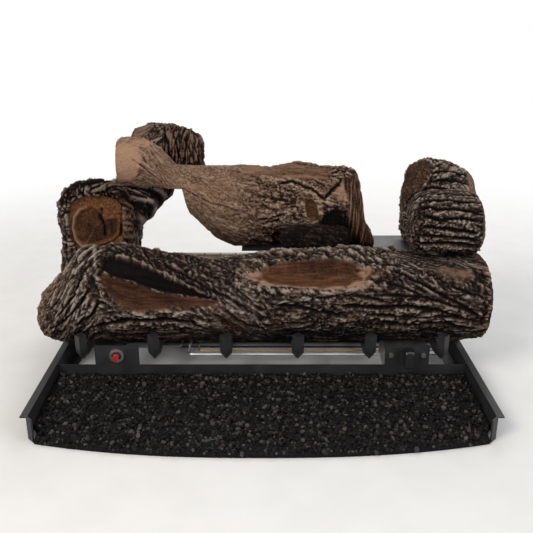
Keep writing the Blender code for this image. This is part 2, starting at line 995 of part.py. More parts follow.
supply_high = gas_line_z + supply_rise
tube(
    "supply_tube",
    [
        (regulator_place, inlet_y - regulator_radius - gap, gas_line_z),
        (regulator_place, finger_depth + supply_rise_start, gas_line_z),
        (regulator_place, finger_depth + supply_rise_end, supply_high),
        (regulator_place, valve_rear + gap, supply_high),
    ],
    supply_radius,
    supply_bend,
    aluminium,
)
tube_y = finger_depth + burner_tube_outlet
tube(
    "burner_tube",
    [
        (control_place + valve_width / 2 + gap, tube_y, burner_tube_height),
        (burner_tube_place, tube_y, burner_tube_height),
        (burner_tube_place, jet_y, burner_tube_height),
        (burner_tube_place, jet_y, front_burner_height),
        (jet_right + gap, jet_y, front_burner_height),
    ],
    burner_tube_radius,
    burner_tube_bend,
    aluminium,
)

# Pilot bracket: a small shelf with a tab that lies against the left burner bracket
pilot_y = front_burner_y + burner_radius + pilot_clearance + pilot_shelf_reach / 2
pilot_wall = left_bracket_x + bracket_thickness + gap
pilot_bracket = place(
    "pilot_bracket",
    block(
        "pilot_bracket",
        (pilot_wall, pilot_y - pilot_shelf_reach / 2, pilot_shelf_height - bracket_thickness),
        (pilot_wall + pilot_shelf_width, pilot_y + pilot_shelf_reach / 2, pilot_shelf_height),
    ),
    black_steel,
)
add(
    pilot_bracket,
    "pilot_tab",
    block(
        "pilot_tab",
        (pilot_wall, pilot_y - pilot_shelf_reach / 2, pilot_shelf_height - pilot_tab),
        (pilot_wall + bracket_thickness, pilot_y + pilot_shelf_reach / 2, pilot_shelf_height - bracket_thickness / 2),
    ),
)
electrode_x, pilot_x, sensor_x = [
    pilot_wall + pilot_shelf_width * share for share in (0.24, 0.52, 0.82)
]
pilot_neck = pilot_radius - bracket_thickness / 2


def shelf_hole(x, radius):
    low, high = -bracket_thickness - overrun, overrun
    profile = [(0, low), (radius, low), (radius, high), (0, high)]
    return turned("shelf_hole", profile, "Z", (x, pilot_y, pilot_shelf_height), small_sides)


pilot_holes = [
    shelf_hole(pilot_x, pilot_neck + gap),
    shelf_hole(sensor_x, sensor_radius + gap),
    shelf_hole(electrode_x, electrode_radius + gap),
]
cut(pilot_bracket, "pilot_holes", gathered("pilot_holes", pilot_holes))
pilot_top = pilot_length + gap
pilot_profile = [
    (0, -bracket_thickness - pilot_stub),
    (pilot_neck, -bracket_thickness - pilot_stub),
    (pilot_neck, gap),
    (pilot_radius, gap),
    (pilot_radius, pilot_top),
    (pilot_radius - burner_wall, pilot_top),
    (pilot_radius - burner_wall, pilot_top / 2),
    (0, pilot_top / 2),
]
place(
    "pilot_burner",
    turned("pilot_burner", pilot_profile, "Z", (pilot_x, pilot_y, pilot_shelf_height)),
    bare_steel,
)
rod_low = -bracket_thickness - pilot_stub
sensor_profile = [
    (0, rod_low),
    (sensor_radius, rod_low),
    (sensor_radius, rod_low + sensor_length - sensor_radius),
    (0, rod_low + sensor_length),
]
place(
    "flame_sensor",
    turned("flame_sensor", sensor_profile, "Z", (sensor_x, pilot_y, pilot_shelf_height), small_sides),
    bare_steel,
)
electrode_profile = [
    (0, rod_low),
    (electrode_radius, rod_low),
    (electrode_radius, rod_low + electrode_length - electrode_tip),
    (electrode_tip_radius, rod_low + electrode_length - electrode_tip),
    (electrode_tip_radius, rod_low + electrode_length),
    (0, rod_low + electrode_length),
]
place(
    "spark_electrode",
    turned("spark_electrode", electrode_profile, "Z", (electrode_x, pilot_y, pilot_shelf_height), small_sides),
    white_ceramic,
)

# Pilot gas line and sensor lead to the valve's left side, igniter lead to the barrel's end
lead_top = pilot_shelf_height + rod_low - gap
valve_left = control_place - valve_width / 2 - gap


def valve_lead(name, x, depth, radius, look):
    y = finger_depth + depth
    corners = [(x, pilot_y, lead_top), (x, pilot_y, line_height), (x, y, line_height), (valve_left, y, line_height)]
    tube(name, corners, radius, line_bend, look)


valve_lead("pilot_line", pilot_x, pilot_line_depth, line_radius, aluminium)
valve_lead("sensor_lead", sensor_x, sensor_line_depth, sensor_line_radius, brass)
igniter_lead_y = finger_depth + igniter_line_depth
barrel_back = igniter_neck_front + neck_length + igniter_length + gap
tube(
    "igniter_lead",
    [
        (electrode_x, pilot_y, lead_top),
        (electrode_x, pilot_y, line_height),
        (electrode_x, igniter_lead_y, line_height),
        (igniter_place, igniter_lead_y, line_height),
        (igniter_place, igniter_lead_y, control_height),
        (igniter_place, barrel_back, control_height),
    ],
    igniter_line_radius,
    line_bend,
    white_ceramic,
)

# Rear shelf on two legs, which stand on the fourth and the last grate bar
shelf_front_y = finger_depth + shelf_front
shelf_rear_y = finger_depth + shelf_rear
rear_shelf = place(
    "rear_shelf",
    block("rear_shelf", (shelf_left, shelf_front_y, shelf_top - sheet), (shelf_right, shelf_rear_y, shelf_top)),
    black_steel,
)
add(
    rear_shelf,
    "rear_shelf_lip",
    block(
        "rear_shelf_lip",
        (shelf_left, shelf_rear_y - sheet, shelf_top - shelf_lip),
        (shelf_right, shelf_rear_y, shelf_top - sheet / 2),
    ),
)
for side_name, x in (("left", bar_places[3]), ("right", bar_places[5])):
    place(
        f"shelf_leg_{side_name}",
        block(
            f"shelf_leg_{side_name}",
            (x - leg_thickness / 2, finger_depth + leg_front, grate_top + gap),
            (x + leg_thickness / 2, finger_depth + leg_rear, shelf_top - sheet - gap),
        ),
        black_steel,
    )


# Sections between the hand-set ones, so that no step along a log is longer than step
def spread(rows, step):
    rows = np.array(rows)
    filled = [rows[0]]
    for before, after in zip(rows, rows[1:]):
        pieces = max(1, int(np.ceil((after[0] - before[0]) / step)))
        for index in range(1, pieces + 1):
            filled.append(before + (after - before) * index / pieces)
    return np.array(filled)


# Distance over a log's surface from a place and an angle to a line of (place share, angle)
# corners, with the angles in degrees
def line_distance(line, place, angle, length, radius):
    angle = math.remainder(angle - math.pi / 2, unit_circle) + math.pi / 2
    here = Vector((place, angle * radius))
    corners = [Vector((share * length, math.radians(turn) * radius)) for share, turn in line]
    nearest = math.inf
    for start, end in zip(corners, corners[1:]):
        step = end - start
        part = min(1, max(0, (here - start).dot(step) / step.length_squared))
        nearest = min(nearest, (here - start - step * part).length)
    return nearest


# A log: ellipses along one axis. Each section is (along, across, height, half across, half
# height). Bark adds low ridges as a share of the radius. A dent is (place share, angle, half
# length share, half angle, depth share). A mark is a furrow or a ridge along a line of (place
# share, angle) corners, with its half width and its depth, which is negative for a ridge. A
# clip is (normal across, normal up, offset, from, to): sections between from and to stay on
# the near side of that plane.
def log_mesh(name, axis, sections, sides, clips=(), dents=(), bark_share=0.02, outline=None, marks=()):
    length = sections[-1][0] - sections[0][0]
    rings = []
    for along, across, up, half_across, half_up in sections:
        share = (along - sections[0][0]) / length
        ring = []
        for side in range(sides):
            angle = unit_circle * side / sides
            wave = math.sin(5 * angle + 9 * share) + math.sin(9 * angle - 17 * share + 2)
            scale = 1 + bark_share * (wave / 2 - 1) / 2
            for place_share, dent_angle, length_share, half_angle, depth_share in dents:
                turn = math.remainder(angle - math.radians(dent_angle), unit_circle)
                reach = ((share - place_share) / length_share) ** 2
                reach += (turn / math.radians(half_angle)) ** 2
                scale -= depth_share * max(0, 1 - reach) ** 0.7
            if outline is not None:
                scale *= outline(share, angle)
            radius = (half_across + half_up) / 2
            for line, half_width, depth in marks:
                reach = line_distance(line, share * length, angle, length, radius) / half_width
                scale -= depth / radius * max(0, 1 - reach**2)
            step_across = -math.cos(angle) * half_across * scale
            step_up = math.sin(angle) * half_up * scale
            for normal_across, normal_up, offset, start, end in clips:
                if not start <= along <= end:
                    continue
                outward = normal_across * step_across + normal_up * step_up
                room = max(0, offset - normal_across * across - normal_up * up)
                if outward > room:
                    step_across, step_up = step_across * room / outward, step_up * room / outward
            ring.append((along, across + step_across, up + step_up))
        rings.append(ring)
    points = [point for ring in rings for point in ring]
    faces = []
    for ring in range(len(rings) - 1):
        for side in range(sides):
            following = (side + 1) % sides
            start = ring * sides
            corners = [start + side, start + following, start + sides + following, start + sides + side]
            faces += [[corners[0], corners[1], corners[2]], [corners[0], corners[2], corners[3]]]
    for ring, section in ((0, sections[0]), (len(rings) - 1, sections[-1])):
        centre = len(points)
        points.append(tuple(section[:3]))
        for side in range(sides):
            faces.append([centre, ring * sides + side, ring * sides + (side + 1) % sides])
    if axis == "Y":
        points = [(across, along, up) for along, across, up in points]
    return shell(name, points, faces, smooth=True)


# A piece whose origin is moved to a point of its own, with the shape left where it is
def seated(name, mesh, look, seat, parent=None):
    for vertex in mesh.vertices:
        vertex.co -= Vector(seat)
    return place(name, mesh, look, parent, at=seat)


everywhere = (-math.inf, math.inf)


def above(height, start=-math.inf, end=math.inf):
    return (0, -1, -height, start, end)


def below(height, start=-math.inf, end=math.inf):
    return (0, 1, height, start, end)


def behind(y, start=-math.inf, end=math.inf):
    return (-1, 0, -y, start, end)


def before(y, start=-math.inf, end=math.inf):
    return (1, 0, y, start, end)


# Sections of a log that lies along X, from shares: place along the length, top and bottom
# over the floor as shares of the height, back of the middle line and half depth as shares
# of the depth. The underside reaches a little below its seat, which cuts it flat.
seat_share = 0.03


def lying_sections(left, length, floor, height, middle_y, depth, shares):
    rows = []
    for along_share, top_share, bottom_share, back_share, half_share in shares:
        top, bottom = floor + height * top_share, floor + height * (bottom_share - seat_share)
        rows.append(
            (
                left + length * along_share,
                middle_y + depth * back_share,
                (top + bottom) / 2,
                depth * half_share,
                (top - bottom) / 2,
            )
        )
    return rows


# Front log: long, with a high left shoulder, two smooth hollows and a flat ledge at right
front_log_left = front_log_middle - front_log_length / 2
front_log_shares = (
    (0.000, 0.38, 0.18, -0.06, 0.16),
    (0.008, 0.50, 0.08, -0.04, 0.28),
    (0.030, 0.61, 0.02, -0.02, 0.38),
    (0.050, 0.71, 0.00, -0.01, 0.42),
    (0.070, 0.82, 0.00, 0.00, 0.44),
    (0.086, 0.95, 0.00, 0.00, 0.46),
    (0.108, 1.04, 0.00, 0.00, 0.48),
    (0.140, 0.99, 0.00, 0.00, 0.49),
    (0.165, 1.03, 0.00, 0.00, 0.50),
    (0.200, 1.01, 0.00, 0.00, 0.50),
    (0.287, 0.95, 0.00, 0.00, 0.50),
    (0.384, 0.85, 0.00, 0.00, 0.50),
    (0.467, 0.91, 0.00, 0.00, 0.50),
    (0.588, 0.97, 0.00, 0.00, 0.50),
    (0.692, 1.01, 0.00, 0.00, 0.50),
    (0.777, 0.97, 0.00, 0.00, 0.50),
    (0.804, 0.97, 0.00, 0.08, 0.58),
    (0.960, 0.95, 0.00, 0.10, 0.60),
    (0.988, 0.92, 0.01, 0.10, 0.58),
    (1.000, 0.87, 0.04, 0.10, 0.52),
)
front_log_dents = (
    (0.283, 18, 0.150, 24, 0.16),
    (0.609, 44, 0.135, 21, 0.17),
    (0.905, 52, 0.060, 16, 0.06),
)
furrow = (furrow_half_width, furrow_depth)
ridge = (ridge_half_width, -ridge_height)
front_log_marks = (
    (((0.156, 62), (0.233, 57), (0.331, 38), (0.406, 20)), *furrow),
    (((0.774, 54), (0.884, 21), (0.966, -6)), *furrow),
    (((0.669, 4), (0.819, 7), (0.925, -8)), *furrow),
    (((0.746, -16), (0.886, -18), (0.956, -25)), *furrow),
    (((0.529, 9), (0.673, -9)), *furrow),
    (((0.121, -27), (0.280, -12), (0.389, -25)), *furrow),
    (((0.106, 43), (0.041, 18)), *furrow),
    (((0.130, 24), (0.072, -7), (0.033, -16)), *furrow),
    (((0.128, 100), (0.143, 50), (0.161, 14), (0.230, -6), (0.331, -9)), *ridge),
    (((0.171, 71), (0.243, 67), (0.332, 50), (0.415, 31), (0.471, 7)), *ridge),
    (((0.420, 100), (0.461, 52), (0.510, 14), (0.529, -14)), *ridge),
    (((0.500, 47), (0.559, 67), (0.658, 68), (0.757, 45)), *ridge),
    (((0.757, 42), (0.689, 20), (0.599, 22), (0.500, 33)), *ridge),
    (((0.829, 23), (0.899, 16), (0.959, 13)), *ridge),
    (((0.090, 60), (0.044, 43)), *ridge),
    (((0.980, 68), (0.989, 15)), *ridge),
)
front_log_y = finger_depth + front_log_back
left_log_front_y = finger_depth + left_log_front
left_log_right = left_log_left + left_log_width
ledge_x = front_log_ledge_left
# The log leans on the upper back edge of the fingers
finger_edge = np.array((finger_depth + bar_diagonal / 2, finger_height))
front_log_axis = np.array((front_log_y, log_floor + front_log_height / 2))
finger_normal = (finger_edge - front_log_axis) / np.linalg.norm(finger_edge - front_log_axis)
front_log_clips = (
    above(log_floor),
    (*finger_normal, float(finger_normal @ finger_edge) - gap, *everywhere),
    before(left_log_front_y - gap, end=left_log_right + bar_bay / 4),
    before(finger_depth + front_log_rear_limit),
    below(front_log_ledge_height, start=ledge_x),
)
front_log_sections = spread(
    lying_sections(
        front_log_left,
        front_log_length,
        log_floor,
        front_log_height,
        front_log_y,
        front_log_depth,
        front_log_shares,
    ),
    front_log_length / 72,
)
seated(
    "front_log",
    log_mesh("front_log", "X", front_log_sections, 36, front_log_clips, front_log_dents, marks=front_log_marks),
    bark_ceramic,
    (front_log_middle, front_log_y, log_floor),
)

# Left log: runs front to back with its sawn face forward, over a foot that narrows. At its
# back a corbel reaches right under the upper left log.
left_log_x = left_log_left + left_log_width / 2
left_face_shares = (
    (0.12, 0.00), (0.04, 0.20), (0.00, 0.36), (0.05, 0.54), (0.08, 0.68), (0.04, 0.80), (0.08, 0.89),
    (0.20, 0.96), (0.40, 1.00), (0.66, 1.00), (0.88, 0.94), (1.00, 0.82), (0.99, 0.66), (0.95, 0.52),
    (0.90, 0.38), (0.87, 0.20), (0.85, 0.00),
)
corbel_share = 1 + left_log_corbel / left_log_width
left_back_shares = (
    (0.12, 0.00), (0.04, 0.20), (0.01, 0.42), (0.03, 0.60), (0.12, 0.72), (0.32, 0.80),
    (0.60, 0.86), (0.76, 0.95), (corbel_share, 0.94), (corbel_share, 0.86), (0.98, 0.62),
    (0.90, 0.42), (0.88, 0.20), (0.84, 0.00),
)


# How far an outline of width and height shares lies from its middle, for each angle
def outline_reach(shares):
    middle = 0.5
    angles, reaches = [], []
    for across_share, up_share in shares:
        across, up = (middle - across_share) / middle, (up_share - middle) / middle
        angles.append(math.atan2(up, across) % unit_circle)
        reaches.append(math.hypot(across, up))
    order = np.argsort(angles)
    angles, reaches = np.array(angles)[order], np.array(reaches)[order]
    return lambda angle: float(np.interp(angle % unit_circle, angles, reaches, period=unit_circle))


left_face = outline_reach(left_face_shares)
left_back = outline_reach(left_back_shares)


def left_outline(share, angle):
    blend = min(1, max(0, (share - 0.14) / 0.34))
    return left_face(angle) * (1 - blend) + left_back(angle) * blend


left_log_z = log_floor + left_log_height / 2
left_rows = []
for along_share, size_share in ((0, 0.90), (0.03, 0.98), (0.10, 1), (0.30, 1), (0.60, 0.99), (0.93, 0.97), (1, 0.92)):
    left_rows.append(
        (
            left_log_front_y + left_log_length * along_share,
            left_log_x,
            left_log_z,
            left_log_width / 2 * size_share,
            left_log_height / 2 * (0.6 + 0.4 * size_share),
        )
    )
left_log_seat = left_log_seat_height
left_log_clips = (
    above(log_floor),
    below(left_log_seat, start=finger_depth + left_log_seat_front),
)
seated(
    "left_log",
    log_mesh(
        "left_log",
        "Y",
        spread(left_rows, left_log_length / 9),
        28,
        left_log_clips,
        bark_share=0.015,
        outline=left_outline,
    ),
    bark_ceramic,
    (left_log_x, left_log_front_y + left_log_length / 2, log_floor),
)

# Middle log: its slim left end lies on the left log, its stout right part on the rear shelf
middle_length = middle_log_right - middle_log_left
middle_floor = shelf_top + gap
left_end_z = left_log_seat + gap + middle_log_left_radius
middle_y = finger_depth + middle_log_back
left_end_y = finger_depth + middle_log_left_back
drop = (left_end_z - middle_floor) / middle_log_height
slim = middle_log_left_radius / middle_log_height
slim_depth = middle_log_left_radius / middle_log_depth
forward = (left_end_y - middle_y) / middle_log_depth
# The slim end reaches over the left log's corbel, so its places follow that, and the rest of
# the places share what is left of the length
slim_end_share = 0.248663
corbel_right = left_log_right + left_log_corbel + bar_size
slim_reach = (corbel_right - middle_log_left) / middle_length


def middle_place(share):
    if share < slim_end_share:
        return share / slim_end_share * slim_reach
    return slim_reach + (share - slim_end_share) / (1 - slim_end_share) * (1 - slim_reach)


middle_log_shares = (
    (0.000, drop + slim * 0.86, drop - slim * 0.86, forward, slim_depth * 0.86),
    (0.020, drop + slim, drop - slim, forward, slim_depth),
    (0.100, drop + slim * 0.94, drop - slim, forward, slim_depth * 0.96),
    (0.155, drop + slim * 0.56, drop - slim * 1.02, forward, slim_depth * 0.92),
    (0.220, 1.06, 0.66, forward * 0.95, slim_depth * 0.92),
    (0.310, 1.04, 0.36, forward * 0.85, slim_depth * 0.95),
    (0.370, 1.02, 0.14, forward * 0.58, 0.42),
    (0.450, 1.01, 0.00, forward * 0.26, 0.47),
    (0.570, 0.98, 0.00, 0.00, 0.49),
    (0.680, 1.03, 0.00, 0.00, 0.50),
    (0.790, 0.98, 0.00, 0.00, 0.50),
    (0.880, 0.97, 0.00, 0.00, 0.50),
    (0.920, 0.95, 0.00, 0.00, 0.48),
    (0.936, 0.86, 0.00, 0.00, 0.46),
    (0.946, 0.62, 0.00, 0.00, 0.45),
    (0.956, 0.34, 0.00, 0.00, 0.43),
    (0.980, 0.20, 0.00, 0.00, 0.38),
    (1.000, 0.12, 0.02, 0.00, 0.28),
)
upper_left_right = upper_left_log_left + upper_left_log_length
stub_right = stub_left + stub_length
stub_middle = np.array((finger_depth + stub_back, middle_floor + stub_height / 2))
stout_middle = np.array((middle_y, middle_floor + middle_log_height / 2))
toward = (stout_middle - stub_middle) / np.linalg.norm(stout_middle - stub_middle)
stub_plane = float(toward @ stub_middle) + stub_depth / 2 * 0.96
shelf_end_x = shelf_left - bar_diagonal
middle_log_clips = (
    above(left_log_seat + gap, end=corbel_right),
    above(middle_floor, start=shelf_end_x),
    before(finger_depth + upper_left_log_front - gap, end=upper_left_right + bar_size),
    (-toward[0], -toward[1], -stub_plane - gap, stub_left - bar_size, stub_right + bar_size),
)
middle_sections = spread(
    lying_sections(
        middle_log_left,
        middle_length,
        middle_floor,
        middle_log_height,
        middle_y,
        middle_log_depth,
        [(middle_place(share), *rest) for share, *rest in middle_log_shares],
    ),
    middle_length / 26,
)
middle_log = seated(
    "middle_log",
    log_mesh(
        "middle_log",
        "X",
        middle_sections,
        20,
        middle_log_clips,
        dents=((0.745, 4, 0.035, 16, 0.08),),
    ),
    wood_ceramic,
    ((middle_log_left + middle_log_right) / 2, middle_y, middle_floor),
)

# Branch stub: the charred end of a branch against the middle log's lower front
stub_shares = (
    (0.00, 0.72, 0.28, 0, 0.26),
    (0.06, 0.90, 0.10, 0, 0.42),
    (0.20, 1.00, 0.00, 0, 0.50),
    (0.75, 1.00, 0.00, 0, 0.50),
    (0.94, 0.92, 0.08, 0, 0.44),
    (1.00, 0.76, 0.24, 0, 0.30),
)
stub_sections = spread(
    lying_sections(stub_left, stub_length, middle_floor, stub_height, stub_middle[0], stub_depth, stub_shares),
    stub_length / 7,
)
seated(
    "branch_stub",
    log_mesh("branch_stub", "X", stub_sections, 12, ((toward[0], toward[1], stub_plane, *everywhere),)),
    bark_ceramic,
    (stub_left + stub_length / 2, stub_middle[0], stub_middle[1]),
)

# Upper left log: lies on the left log's corbel, behind the middle log's slim end
upper_left_shares = (
    (0.00, 0.66, 0.10, 0, 0.34),
    (0.07, 0.84, 0.00, 0, 0.46),
    (0.30, 1.00, 0.00, 0, 0.50),
    (0.60, 0.96, 0.00, 0, 0.50),
    (0.84, 0.86, 0.00, 0, 0.47),
    (0.96, 0.72, 0.02, 0, 0.42),
    (1.00, 0.58, 0.08, 0, 0.34),
)
upper_left_y = finger_depth + upper_left_log_front + upper_left_log_depth / 2
upper_left_floor = left_log_seat + gap
upper_left_sections = spread(
    lying_sections(
        upper_left_log_left,
        upper_left_log_length,
        upper_left_floor,
        upper_left_log_height,
        upper_left_y,
        upper_left_log_depth,
        upper_left_shares,
    ),
    upper_left_log_length / 9,
)
upper_left_clips = (above(upper_left_floor), behind(finger_depth + upper_left_log_front))
seated(
    "upper_left_log",
    log_mesh("upper_left_log", "X", upper_left_sections, 16, upper_left_clips),
    bark_ceramic,
    (upper_left_log_left + upper_left_log_length / 2, upper_left_y, upper_left_floor),
)

# Right log: lies on the front log's ledge
right_log_shares = (
    (0.00, 0.74, 0.20, -0.02, 0.28),
    (0.05, 0.88, 0.06, -0.01, 0.40),
    (0.18, 0.98, 0.00, 0, 0.48),
    (0.45, 1.00, 0.00, 0, 0.50),
    (0.80, 0.97, 0.00, 0, 0.48),
    (0.93, 0.92, 0.01, 0.02, 0.44),
    (1.00, 0.80, 0.08, 0.06, 0.36),
)
right_floor = front_log_ledge_height + gap
right_log_y = finger_depth + right_log_back
upper_right_y = finger_depth + right_log_back + right_log_depth / 2 + gap * 3
right_log_sections = spread(
    lying_sections(
        right_log_left, right_log_length, right_floor, right_log_height, right_log_y, right_log_depth, right_log_shares
    ),
    right_log_length / 8,
)
seated(
    "right_log",
    log_mesh("right_log", "X", right_log_sections, 18, (above(right_floor), before(upper_right_y - gap))),
    bark_ceramic,
    (right_log_left + right_log_length / 2, right_log_y, right_floor),
)

# Upper right log: stands behind the right log on the rear shelf
upper_right_shares = (
    (0.00, 0.70, 0.14, 0, 0.32),
    (0.07, 0.90, 0.02, 0, 0.44),
    (0.30, 1.00, 0.00, 0, 0.50),
    (0.65, 0.97, 0.00, 0, 0.50),
    (0.92, 0.86, 0.00, 0, 0.46),
    (1.00, 0.76, 0.05, 0, 0.40),
)
upper_right_middle = upper_right_y + gap + upper_right_log_depth / 2
upper_right_floor = shelf_top + gap
upper_right_sections = spread(
    lying_sections(
        upper_right_log_left,
        upper_right_log_length,
        upper_right_floor,
        upper_right_log_height,
        upper_right_middle,
        upper_right_log_depth,
        upper_right_shares,
    ),
    upper_right_log_length / 8,
)
seated(
    "upper_right_log",
    log_mesh("upper_right_log", "X", upper_right_sections, 18, (above(upper_right_floor), behind(upper_right_y))),
    bark_ceramic,
    (upper_right_log_left + upper_right_log_length / 2, upper_right_middle, upper_right_floor),
)

# Lava rock: a bed between the rails, from the front panel out to a bowed front edge
rock_columns, rock_rows = 44, 12
rock_back = panel_y - gap * 2
rock_half = rail_x - sheet - gap * 2
tip_half = rail_x - rail_tip - sheet - gap * 2
tip_start = rail_front + sheet
corner_front = rail_front - rail_tip - rock_lap
narrow_start = tip_start + rock_edge
narrow_share = (rock_back - narrow_start) / (rock_back - corner_front)
rock_top, rock_base = [], []
for row in range(rock_rows + 1):
    row_share = narrow_share * row / (rock_rows - 2) if row < rock_rows - 1 else None
    if row_share is None:
        row_share = narrow_share + (1 - narrow_share) * (row - rock_rows + 2) / 2
    half = rock_half if row < rock_rows - 2 else tip_half
    for column in range(rock_columns + 1):
        across = 2 * column / rock_columns - 1
        front = corner_front - rock_bulge * (1 - abs(across) ** 2.4)
        x, y = half * across, rock_back + (front - rock_back) * row_share
        bump = math.sin(5 * column + 3 * row) + math.sin(2 * column - 4 * row + 1)
        fall = row_share**3
        thickness = rock_thickness + (rock_edge - rock_thickness) * fall + rock_bump * bump / 2 * (1 - fall)
        rock_top.append((x, y, thickness))
        rock_base.append((x, y, 0))
wide = rock_columns + 1
tall = rock_rows + 1
rock_points = rock_top + rock_base
under = len(rock_top)
rock_faces = []
for row in range(rock_rows):
    for column in range(rock_columns):
        first = row * wide + column
        rock_faces.append([first, first + 1, first + wide + 1])
        rock_faces.append([first, first + wide + 1, first + wide])
rim = [column for column in range(wide)]
rim += [row * wide + rock_columns for row in range(1, tall)]
rim += [rock_rows * wide + column for column in range(rock_columns - 1, -1, -1)]
rim += [row * wide for row in range(rock_rows - 1, 0, -1)]
for first, second in zip(rim, rim[1:] + rim[:1]):
    rock_faces.append([first, second, second + under, first + under])
rock_faces.append([index + under for index in rim])
place("lava_rock_bed", shell("lava_rock_bed", rock_points, rock_faces), lava)
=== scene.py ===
import json
import math

import bpy
import numpy as np
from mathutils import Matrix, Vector


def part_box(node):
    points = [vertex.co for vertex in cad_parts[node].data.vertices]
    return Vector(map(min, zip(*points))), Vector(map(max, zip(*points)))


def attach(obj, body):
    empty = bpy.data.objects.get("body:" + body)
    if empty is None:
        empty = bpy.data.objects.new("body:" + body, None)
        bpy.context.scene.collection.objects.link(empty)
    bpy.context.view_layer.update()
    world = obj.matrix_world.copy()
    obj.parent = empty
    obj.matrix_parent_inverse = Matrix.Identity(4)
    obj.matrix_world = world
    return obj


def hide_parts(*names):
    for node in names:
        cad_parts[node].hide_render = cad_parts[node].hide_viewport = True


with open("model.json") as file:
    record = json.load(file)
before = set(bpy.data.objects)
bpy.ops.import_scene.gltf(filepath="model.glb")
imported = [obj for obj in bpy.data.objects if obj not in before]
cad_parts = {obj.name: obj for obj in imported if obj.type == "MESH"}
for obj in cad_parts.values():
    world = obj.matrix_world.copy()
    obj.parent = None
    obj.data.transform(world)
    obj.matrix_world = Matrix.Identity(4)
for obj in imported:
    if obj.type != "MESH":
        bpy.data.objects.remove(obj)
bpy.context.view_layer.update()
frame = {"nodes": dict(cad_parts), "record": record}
print("frame loaded")

mm = 0.001
turnFull = 2 * math.pi


# One sRGB hex value as four linear numbers: each channel is (c + 0.055) / 1.055 to the power 2.4
def hexColour(text):
    channels = [int(text[i:i + 2], 16) / 255 for i in (1, 3, 5)]
    return [c / 12.92 if c <= 0.04045 else ((c + 0.055) / 1.055) ** 2.4 for c in channels] + [1.0]


# Adds a node and sets its properties. Its inputs go by name or number: a node gives its first
# output, an output is linked, and any other value is set.
def addNode(tree, kind, inputs=(), **settings):
    node = tree.nodes.new("ShaderNode" + kind)
    for key, value in settings.items():
        setattr(node, key, value)
    for key, value in inputs.items() if isinstance(inputs, dict) else enumerate(inputs):
        if isinstance(value, bpy.types.Node):
            value = value.outputs[0]
        if isinstance(value, bpy.types.NodeSocket):
            tree.links.new(value, node.inputs[key])
        else:
            node.inputs[key].default_value = value
    return node


# A new material with its Principled shader and its Object coordinates, ready for nodes
def newMaterial(name, specular, metallic=0.0):
    material = bpy.data.materials.new(name)
    material.use_nodes = True
    tree = material.node_tree
    shader = tree.nodes["Principled BSDF"]
    shader.inputs["Metallic"].default_value = metallic
    if not metallic:
        shader.inputs["Specular IOR Level"].default_value = specular
    return material, tree, shader, addNode(tree, "TexCoord").outputs["Object"]


# Links a shader's colour, roughness and bump. The bump has a strength, and a height in metres.
def finishShader(tree, shader, colour, roughness, relief, strength, height):
    bump = addNode(tree, "Bump", {"Strength": strength, "Distance": height, "Height": relief})
    for key, node in (("Base Color", colour), ("Roughness", roughness), ("Normal", bump)):
        out = node if isinstance(node, bpy.types.NodeSocket) else node.outputs[0]
        tree.links.new(out, shader.inputs[key])


# Sets a ramp's stops at these places to these hex colours
def setStops(ramp, places, colours):
    elements = ramp.color_ramp.elements
    while len(elements) < len(places):
        elements.new(0.5)
    for element, place, colour in zip(elements, places, colours):
        element.position, element.color = place, hexColour(colour)
    return ramp


# Gradient noise: each lattice corner has a random direction, its dot product with the offset is
# blended between the eight corners with the curve 6t^5 - 15t^4 + 10t^3. About -1 to 1.
def gradientNoise(points, seed):
    source = np.random.default_rng(1000 + seed)
    table = source.normal(size=(4096, 3))
    table /= np.linalg.norm(table, axis=1)[:, None]
    cell = np.floor(points).astype(np.int64)
    inside = points - cell
    blend = inside ** 3 * (inside * (inside * 6 - 15) + 10)
    total = np.zeros(len(points))
    for corner in range(8):
        step = np.array([corner & 1, corner >> 1 & 1, corner >> 2 & 1])
        spot = cell + step
        key = (spot[:, 0] * 73856093 ^ spot[:, 1] * 19349663 ^ spot[:, 2] * 83492791) & 4095
        weight = np.prod(np.where(step, blend, 1 - blend), axis=1)
        total += weight * np.einsum("ij,ij->i", table[key], inside - step)
    return total * 1.6


# Octaves of noise, each half as wide and half as strong as the last
def layeredNoise(points, octaves, seed):
    total = np.zeros(len(points))
    for octave in range(octaves):
        total += gradientNoise(points * 2 ** octave, seed + octave * 7) * 0.5 ** octave
    return total / (2 - 0.5 ** (octaves - 1))


# 0 below low, 1 above high, and 3t^2 - 2t^3 between
def ease(low, high, value):
    share = np.clip((value - low) / (high - low), 0, 1)
    return share * share * (3 - 2 * share)


# A bell over a distance: 1 at zero, e to the minus square of the distance in widths
def bell(distance, width):
    return np.exp(-((distance / width) ** 2))


# Points moved by slow noise, so that lines drawn from them wander
def warped(points, reach, size, seed):
    moved = [gradientNoise(points / size, seed + axis) for axis in range(3)]
    return points + reach * np.stack(moved, axis=1)


# A mesh object from a grid of points that closes round its second direction, with a pole at each
# end. Extra values per point go into float attributes for the materials.
def gridPiece(name, grid, poles, values, flip):
    rows, around = grid.shape[:2]
    points = np.concatenate([grid.reshape(-1, 3), poles])
    index = np.arange(rows * around).reshape(rows, around)
    after = np.roll(index, -1, axis=1)
    quads = np.stack([index[:-1], index[1:], after[1:], after[:-1]], axis=-1).reshape(-1, 4)
    firstPole, lastPole = rows * around, rows * around + 1
    first = np.stack([np.full(around, firstPole), index[0], after[0]], axis=-1)
    last = np.stack([np.full(around, lastPole), after[-1], index[-1]], axis=-1)
    if flip:
        quads, first, last = quads[:, ::-1], first[:, ::-1], last[:, ::-1]
    loops = np.concatenate([quads.ravel(), first.ravel(), last.ravel()]).astype(np.int32)
    counts = np.concatenate([np.full(len(quads), 4), np.full(2 * around, 3)])
    return arrayPiece(name, points, loops, counts, values)


